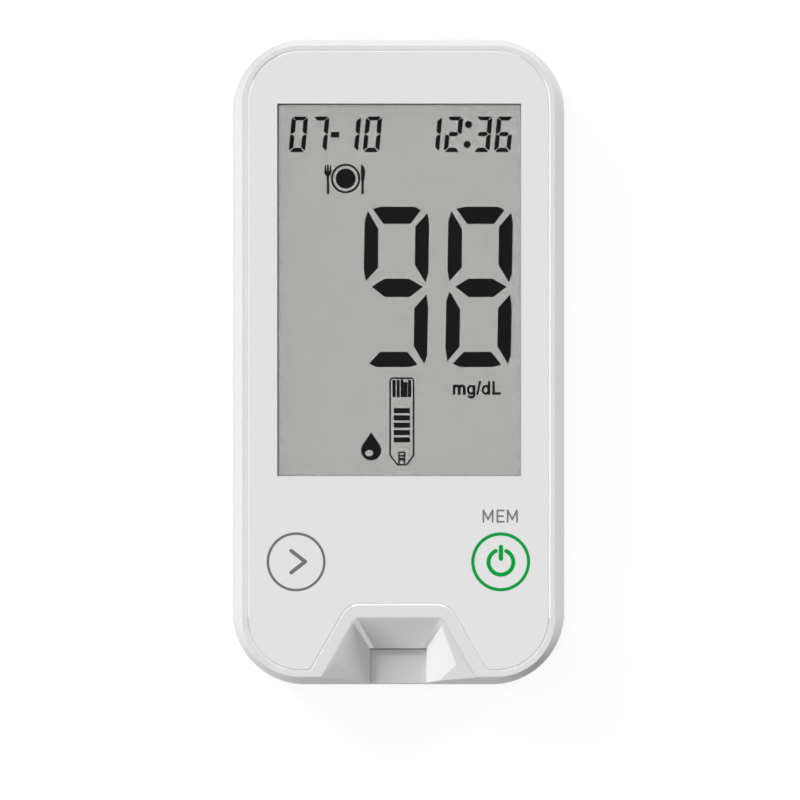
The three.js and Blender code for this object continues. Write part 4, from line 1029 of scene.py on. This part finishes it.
def wire(tree, *rows):
    """Links an output of one node to an input of another for each (node, output, node, input) row."""
    for source, output, target, place in rows:
        tree.links.new(source.outputs[output], target.inputs[place])


def node_material(name):
    """A node material with its tree and shader, and whether it was there before."""
    known = bpy.data.materials.get(name)
    made = known or bpy.data.materials.new(name)
    made.use_nodes = True
    return made, made.node_tree, made.node_tree.nodes.get("Principled BSDF"), known is not None


def texture(tree, kind, scale, stretch=(1, 1, 1), **values):
    """A texture on Object coordinates, stretched by a Mapping node."""
    place = added(tree, "ShaderNodeTexCoord")
    mapping = added(tree, "ShaderNodeMapping", {"Scale": stretch})
    made = added(tree, kind, {"Scale": scale, **values})
    wire(tree, (place, "Object", mapping, "Vector"), (mapping, "Vector", made, "Vector"))
    return made


def surface(
    name, base, roughness, metallic=0.0, grain=4000, depth=0.004, mottle=0.015, stretch=(1, 1, 1),
    spread=0.05, gleam=0.5,
):
    """A moulded or metal finish: fine grain in the bump, and soft variation of colour and gloss.

    Colour is base (1 - m) to base (1 + m) by a wide noise, roughness varies by spread with the same
    noise, and the bump's depth is in millimetres.
    """
    made, tree, shader, known = node_material(name)
    if known:
        return made
    dark, light = np.array(base) * (1 - mottle), np.minimum(np.array(base) * (1 + mottle), 1)
    wide = texture(tree, "ShaderNodeTexNoise", 90, Detail=3.0)
    fine = texture(tree, "ShaderNodeTexNoise", grain, stretch, Detail=2.0)
    mix = added(tree, "ShaderNodeMix", {6: (*dark, 1), 7: (*light, 1)}, data_type="RGBA")
    gloss = added(tree, "ShaderNodeMapRange", {"To Min": roughness - spread, "To Max": roughness + spread})
    bump = added(tree, "ShaderNodeBump", {"Strength": 0.5, "Distance": depth * MM})
    fill(shader, {"Metallic": metallic, "Specular IOR Level": gleam})
    wire(
        tree,
        (wide, "Fac", mix, 0), (wide, "Fac", gloss, "Value"), (fine, "Fac", bump, "Height"),
        (mix, 2, shader, "Base Color"), (gloss, "Result", shader, "Roughness"),
        (bump, "Normal", shader, "Normal"),
    )
    return made


def moulded_plastic():
    """The case's white plastic, with little gloss."""
    return surface("Moulded white plastic", paint("shell"), 0.55, grain=5200, depth=0.005, gleam=0.06)


def painted_highlight_edge():
    """The case's plastic in a lighter grey on the straight bevels round the printed sheet: a painted
    highlight.
    """
    return surface("Painted highlight edge", paint("edge"), 0.4, grain=6000, depth=0.001, mottle=0.005)


def painted_shade_plastic(name, level):
    """The case's plastic in a grey of that 8-bit display level, darker than the shell: painted shade."""
    return surface(name, srgb(level, level, level), 0.45, grain=5200, depth=0.003, mottle=0.008)


def polished_plastic():
    """The case's plastic under a hard clear coat that mirrors the surroundings."""
    made = surface("Polished plastic", paint("shell"), 0.3, grain=5200, depth=0.0005)
    coat = {"Coat Weight": 1.0, "Coat Roughness": 0.15, "Coat IOR": 3.0}
    fill(made.node_tree.nodes["Principled BSDF"], coat)
    return made


def sheet_film():
    """White printed film, also on the key caps."""
    return surface("Printed white film", paint("sheet"), 0.42, grain=7000, depth=0.002, mottle=0.008)


def display_film():
    """The display's grey film: it mirrors the sky when seen straight on, and turns matt at a slant."""
    mirror, fine = 0.8, {"grain": 9000, "depth": 0.0001, "mottle": 0.004, "spread": 0.004, "gleam": 0.1}
    made = surface("Display film", paint("display"), 0.2, mirror, **fine)
    tree = made.node_tree
    slant = added(tree, "ShaderNodeLayerWeight")
    ends = {"From Min": 0.1, "From Max": 0.4, "To Min": mirror, "To Max": 0.0}
    fade = added(tree, "ShaderNodeMapRange", ends)
    shader = tree.nodes["Principled BSDF"]
    wire(tree, (slant, "Facing", fade, "Value"), (fade, "Result", shader, "Metallic"))
    return made


def segment_ink():
    """The dark of the display's segments, without gloss."""
    return surface("Display segments", paint("segment"), 0.8, depth=0.001, mottle=0.05, gleam=0.0)


def print_ink(name, base):
    """Printed ink of one colour."""
    return surface(name, base, 0.6, grain=6000, depth=0.002, mottle=0.02, gleam=0.05)


def plated_steel():
    """Brushed plating, its grain drawn out along one axis."""
    grey = (0.62, 0.62, 0.61)
    return surface("Plated steel", grey, 0.3, 1.0, grain=900, depth=0.002, mottle=0.06, stretch=(1, 14, 1))


def clear_lens():
    """Clear plastic with a coat against glare: light goes straight through, and gloss shows only at a
    slant, where Fresnel passes a small threshold, and only on the faces turned to the viewer."""
    made, tree, shader, known = node_material("Clear lens")
    if known:
        return made
    through = added(tree, "ShaderNodeBsdfTransparent", {"Color": (0.99, 0.99, 0.99, 1)})
    gloss = added(tree, "ShaderNodeBsdfGlossy", {"Roughness": 0.04})
    fresnel = added(tree, "ShaderNodeFresnel", {"IOR": 1.45})
    coat = added(tree, "ShaderNodeMapRange", {"From Min": 0.12})
    geometry = added(tree, "ShaderNodeNewGeometry")
    turned_to = added(tree, "ShaderNodeMath", {0: 1.0}, operation="SUBTRACT")
    share = added(tree, "ShaderNodeMath", operation="MULTIPLY")
    mix = added(tree, "ShaderNodeMixShader")
    wire(
        tree,
        (fresnel, "Fac", coat, "Value"), (geometry, "Backfacing", turned_to, 1),
        (coat, "Result", share, 0), (turned_to, 0, share, 1), (share, 0, mix, "Fac"),
        (through, "BSDF", mix, 1), (gloss, "BSDF", mix, 2),
        (mix, "Shader", tree.nodes["Material Output"], "Surface"),
    )
    tree.nodes.remove(shader)
    return made


def board_mask():
    """Green solder mask with fine copper tracks under it, by a brick pattern in the bump and colour."""
    made, tree, shader, known = node_material("Solder mask")
    if known:
        return made
    tracks = texture(tree, "ShaderNodeTexBrick", 420)
    mask, copper = ((0.012, 0.105, 0.05, 1), (0.014, 0.12, 0.055, 1)), (0.03, 0.2, 0.08, 1)
    fill(tracks, {"Color1": mask[0], "Color2": mask[1], "Mortar": copper, "Mortar Size": 0.012})
    bump = added(tree, "ShaderNodeBump", {"Distance": 0.03 * MM})
    fill(shader, {"Roughness": 0.35})
    wire(
        tree,
        (tracks, "Color", shader, "Base Color"), (tracks, "Fac", bump, "Height"),
        (bump, "Normal", shader, "Normal"),
    )
    return made


def striped_rubber():
    """Grey rubber with thin dark conducting layers across X."""
    made, tree, shader, known = node_material("Layered rubber")
    if known:
        return made
    layers = texture(tree, "ShaderNodeTexWave", 1600)
    ramp = added(tree, "ShaderNodeValToRGB")
    ramp.color_ramp.elements[0].color = (0.03, 0.03, 0.032, 1)
    ramp.color_ramp.elements[1].color = (0.32, 0.32, 0.34, 1)
    fill(shader, {"Roughness": 0.7})
    wire(tree, (layers, "Fac", ramp, "Fac"), (ramp, "Color", shader, "Base Color"))
    return made


def dress_inner_pieces():
    """Gives each piece that keeps its own shape its finish."""
    gold = surface("Gold plate", (0.83, 0.6, 0.24), 0.28, 1.0, grain=2500, depth=0.002, mottle=0.05)
    black = surface("Black moulding", (0.014, 0.014, 0.015), 0.5, grain=6000, depth=0.004, mottle=0.1)
    foam = surface("Foam", (0.02, 0.02, 0.021), 0.9, grain=3000, depth=0.03, mottle=0.2)
    film, lens, steel = display_film(), clear_lens(), plated_steel()
    finishes = {
        "display_lens": lens,
        "display_front_glass": lens,
        "display_rear_glass": lens,
        "display_polarizer": film,
        "display_reflector": film,
        "display_gasket": foam,
        "display_frame": surface("Frame plastic", srgb(222, 222, 216), 0.5, depth=0.006),
        "zebra_connector": striped_rubber(),
        "main_board": board_mask(),
        "rating_label": surface("Blank label", srgb(206, 208, 209), 0.36, grain=7000, depth=0.002),
        "clock_crystal": steel,
        "next_switch": steel,
        "power_switch": steel,
    }
    chips = ("processor", "analog_front_end", "memory_chip", "buzzer", "strip_socket")
    finishes |= {name: black for name in (*chips, "next_plunger", "power_plunger")}
    finishes |= {f"strip_contact_{i}": gold for i in range(1, 6)}
    ends = [(place, sign) for place in ("lower", "upper") for sign in ("negative", "positive")]
    finishes |= {f"{place}_{sign}_contact": gold for place, sign in ends}
    for name, material in finishes.items():
        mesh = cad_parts[name].data
        mesh.materials.clear()
        mesh.materials.append(material)


def sun(name, azimuth, elevation, strength, spread):
    """A far lamp: azimuth is counted from +X towards +Y and elevation from the floor, in degrees."""
    lamp = bpy.data.lights.new(name, "SUN")
    lamp.energy = strength
    lamp.angle = math.radians(spread)
    made = linked(lamp, name)
    a, e = math.radians(azimuth), math.radians(elevation)
    towards = Vector((math.cos(e) * math.cos(a), math.cos(e) * math.sin(a), math.sin(e)))
    made.location = towards
    made.rotation_euler = towards.to_track_quat("Z", "Y").to_euler()


def backdrop_rays(tree):
    """Node whose output is 1 for camera, glossy and transmission rays, and 0 for all others."""
    path = added(tree, "ShaderNodeLightPath")
    first, either = (added(tree, "ShaderNodeMath", operation="MAXIMUM") for _ in range(2))
    wire(
        tree,
        (path, "Is Camera Ray", first, 0), (path, "Is Glossy Ray", first, 1),
        (first, 0, either, 0), (path, "Is Transmission Ray", either, 1),
    )
    return either


def white_for_backdrop(tree, lit, output):
    """The backdrop's rays see white of strength 1, and all others see the light of the node lit."""
    white = added(tree, "ShaderNodeBackground", {"Color": (1, 1, 1, 1)})
    mix = added(tree, "ShaderNodeMixShader")
    wire(
        tree,
        (backdrop_rays(tree), 0, mix, "Fac"), (lit, "Background", mix, 1),
        (white, "Background", mix, 2), (mix, "Shader", output, "Surface"),
    )


def build_floor():
    """A wide pale floor under the meter, lifted to white for the backdrop's rays where no shadow falls."""
    half, drop, lift_strength = 2.0, 0.00002, 0.86
    mesh = bpy.data.meshes.new("floor")
    corners = [(x * half, y * half, -drop) for x, y in ((-1, -1), (1, -1), (1, 1), (-1, 1))]
    mesh.from_pydata(corners, [], [(0, 1, 2, 3)])
    floor = linked(mesh, "floor")
    made, tree, shader, _ = node_material("Pale floor")
    grey, white = (0.22, 0.22, 0.22, 1), (1, 1, 1, 1)
    fill(shader, {"Base Color": grey, "Roughness": 0.9, "Specular IOR Level": 0.1, "Emission Color": white})
    lifted = added(tree, "ShaderNodeMath", {1: lift_strength}, operation="MULTIPLY")
    wire(tree, (backdrop_rays(tree), 0, lifted, 0), (lifted, 0, shader, "Emission Strength"))
    mesh.materials.append(made)


def build_stage():
    """World, lamps, floor and the camera that looks straight down on the display."""
    scene = bpy.context.scene
    scene.world = world = bpy.data.worlds.new("Studio")
    world.use_nodes = True
    nodes = world.node_tree.nodes
    fill(nodes["Background"], {"Color": (1, 1, 1, 1), "Strength": 0.26})
    white_for_backdrop(world.node_tree, nodes["Background"], nodes["World Output"])
    for name, measures in LAMPS.items():
        sun(name, *measures)
    build_floor()
    camera = bpy.data.cameras.new("Camera")
    camera.type = "ORTHO"
    camera.ortho_scale = PICTURE_WIDTH * MM
    scene.camera = linked(camera, "Camera")
    scene.camera.location = Vector(CAMERA_PLACE) * MM
    scene.view_settings.view_transform = "Standard"


class MESH_OT_meter_front(bpy.types.Operator):
    """Build the front housing"""

    bl_idname = "mesh.meter_front"
    bl_label = "Front Housing"
    bl_options = {"REGISTER", "UNDO"}

    def execute(self, context):
        build_front_shell()
        return {"FINISHED"}


class MESH_OT_meter_rear(bpy.types.Operator):
    """Build the rear housing"""

    bl_idname = "mesh.meter_rear"
    bl_label = "Rear Housing"
    bl_options = {"REGISTER", "UNDO"}

    def execute(self, context):
        build_rear_shell()
        return {"FINISHED"}


class MESH_OT_meter_cover(bpy.types.Operator):
    """Build the battery cover"""

    bl_idname = "mesh.meter_cover"
    bl_label = "Battery Cover"
    bl_options = {"REGISTER", "UNDO"}

    def execute(self, context):
        build_cover()
        return {"FINISHED"}


class MESH_OT_meter_sheet(bpy.types.Operator):
    """Build the printed sheet"""

    bl_idname = "mesh.meter_sheet"
    bl_label = "Printed Sheet"
    bl_options = {"REGISTER", "UNDO"}

    def execute(self, context):
        build_sheet()
        return {"FINISHED"}


class MESH_OT_meter_keys(bpy.types.Operator):
    """Build the two key caps"""

    bl_idname = "mesh.meter_keys"
    bl_label = "Keys"
    bl_options = {"REGISTER", "UNDO"}

    def execute(self, context):
        build_keys()
        return {"FINISHED"}


class MESH_OT_meter_screws(bpy.types.Operator):
    """Build the screws of the housing and the board"""

    bl_idname = "mesh.meter_screws"
    bl_label = "Screws"
    bl_options = {"REGISTER", "UNDO"}

    def execute(self, context):
        build_screws()
        return {"FINISHED"}


class MESH_OT_meter_cells(bpy.types.Operator):
    """Build the coin cells"""

    bl_idname = "mesh.meter_cells"
    bl_label = "Coin Cells"
    bl_options = {"REGISTER", "UNDO"}

    def execute(self, context):
        build_cells()
        return {"FINISHED"}


class MESH_OT_meter_display(bpy.types.Operator):
    """Build the display's segments and icons"""

    bl_idname = "mesh.meter_display"
    bl_label = "Display Segments"
    bl_options = {"REGISTER", "UNDO"}

    def execute(self, context):
        build_display()
        return {"FINISHED"}


class MESH_OT_meter_print(bpy.types.Operator):
    """Build the print on the sheet and the keys"""

    bl_idname = "mesh.meter_print"
    bl_label = "Print"
    bl_options = {"REGISTER", "UNDO"}

    def execute(self, context):
        build_print()
        return {"FINISHED"}


class MESH_OT_meter_inner(bpy.types.Operator):
    """Give the inner pieces their finishes"""

    bl_idname = "mesh.meter_inner"
    bl_label = "Inner Finishes"
    bl_options = {"REGISTER", "UNDO"}

    def execute(self, context):
        dress_inner_pieces()
        return {"FINISHED"}


class SCENE_OT_meter_stage(bpy.types.Operator):
    """Build the floor, lamps and camera"""

    bl_idname = "scene.meter_stage"
    bl_label = "Stage"
    bl_options = {"REGISTER", "UNDO"}

    def execute(self, context):
        build_stage()
        return {"FINISHED"}


OPERATORS = (
    MESH_OT_meter_front, MESH_OT_meter_rear, MESH_OT_meter_cover, MESH_OT_meter_sheet,
    MESH_OT_meter_keys, MESH_OT_meter_screws, MESH_OT_meter_cells, MESH_OT_meter_display,
    MESH_OT_meter_print, MESH_OT_meter_inner, SCENE_OT_meter_stage,
)


class VIEW3D_PT_meter(bpy.types.Panel):
    """Lists the meter's pieces, sizes and colours"""

    bl_label = "Blood Glucose Meter"
    bl_idname = "VIEW3D_PT_meter"
    bl_space_type = "VIEW_3D"
    bl_region_type = "UI"
    bl_category = "Meter"

    def draw(self, context):
        column = self.layout.column(align=True)
        for operator in OPERATORS:
            column.operator(operator.bl_idname)
        for group in (context.scene.meter_sizes, context.scene.meter_colours):
            column.separator()
            for name in type(group).__annotations__:
                column.prop(group, name)


CLASSES = (MeterSizes, MeterColours, *OPERATORS, VIEW3D_PT_meter)


def register():
    """Registers the classes and puts the sizes and colours in the scene."""
    for cls in CLASSES:
        bpy.utils.register_class(cls)
    bpy.types.Scene.meter_sizes = PointerProperty(type=MeterSizes)
    bpy.types.Scene.meter_colours = PointerProperty(type=MeterColours)


def unregister():
    """Takes the sizes and colours out of the scene again, and the classes out of Blender."""
    del bpy.types.Scene.meter_colours
    del bpy.types.Scene.meter_sizes
    for cls in reversed(CLASSES):
        bpy.utils.unregister_class(cls)


def main():
    """Builds every piece in order."""
    register()
    for operator in OPERATORS:
        family, name = operator.bl_idname.split(".")
        getattr(getattr(bpy.ops, family), name)()


if __name__ == "__main__":
    main()
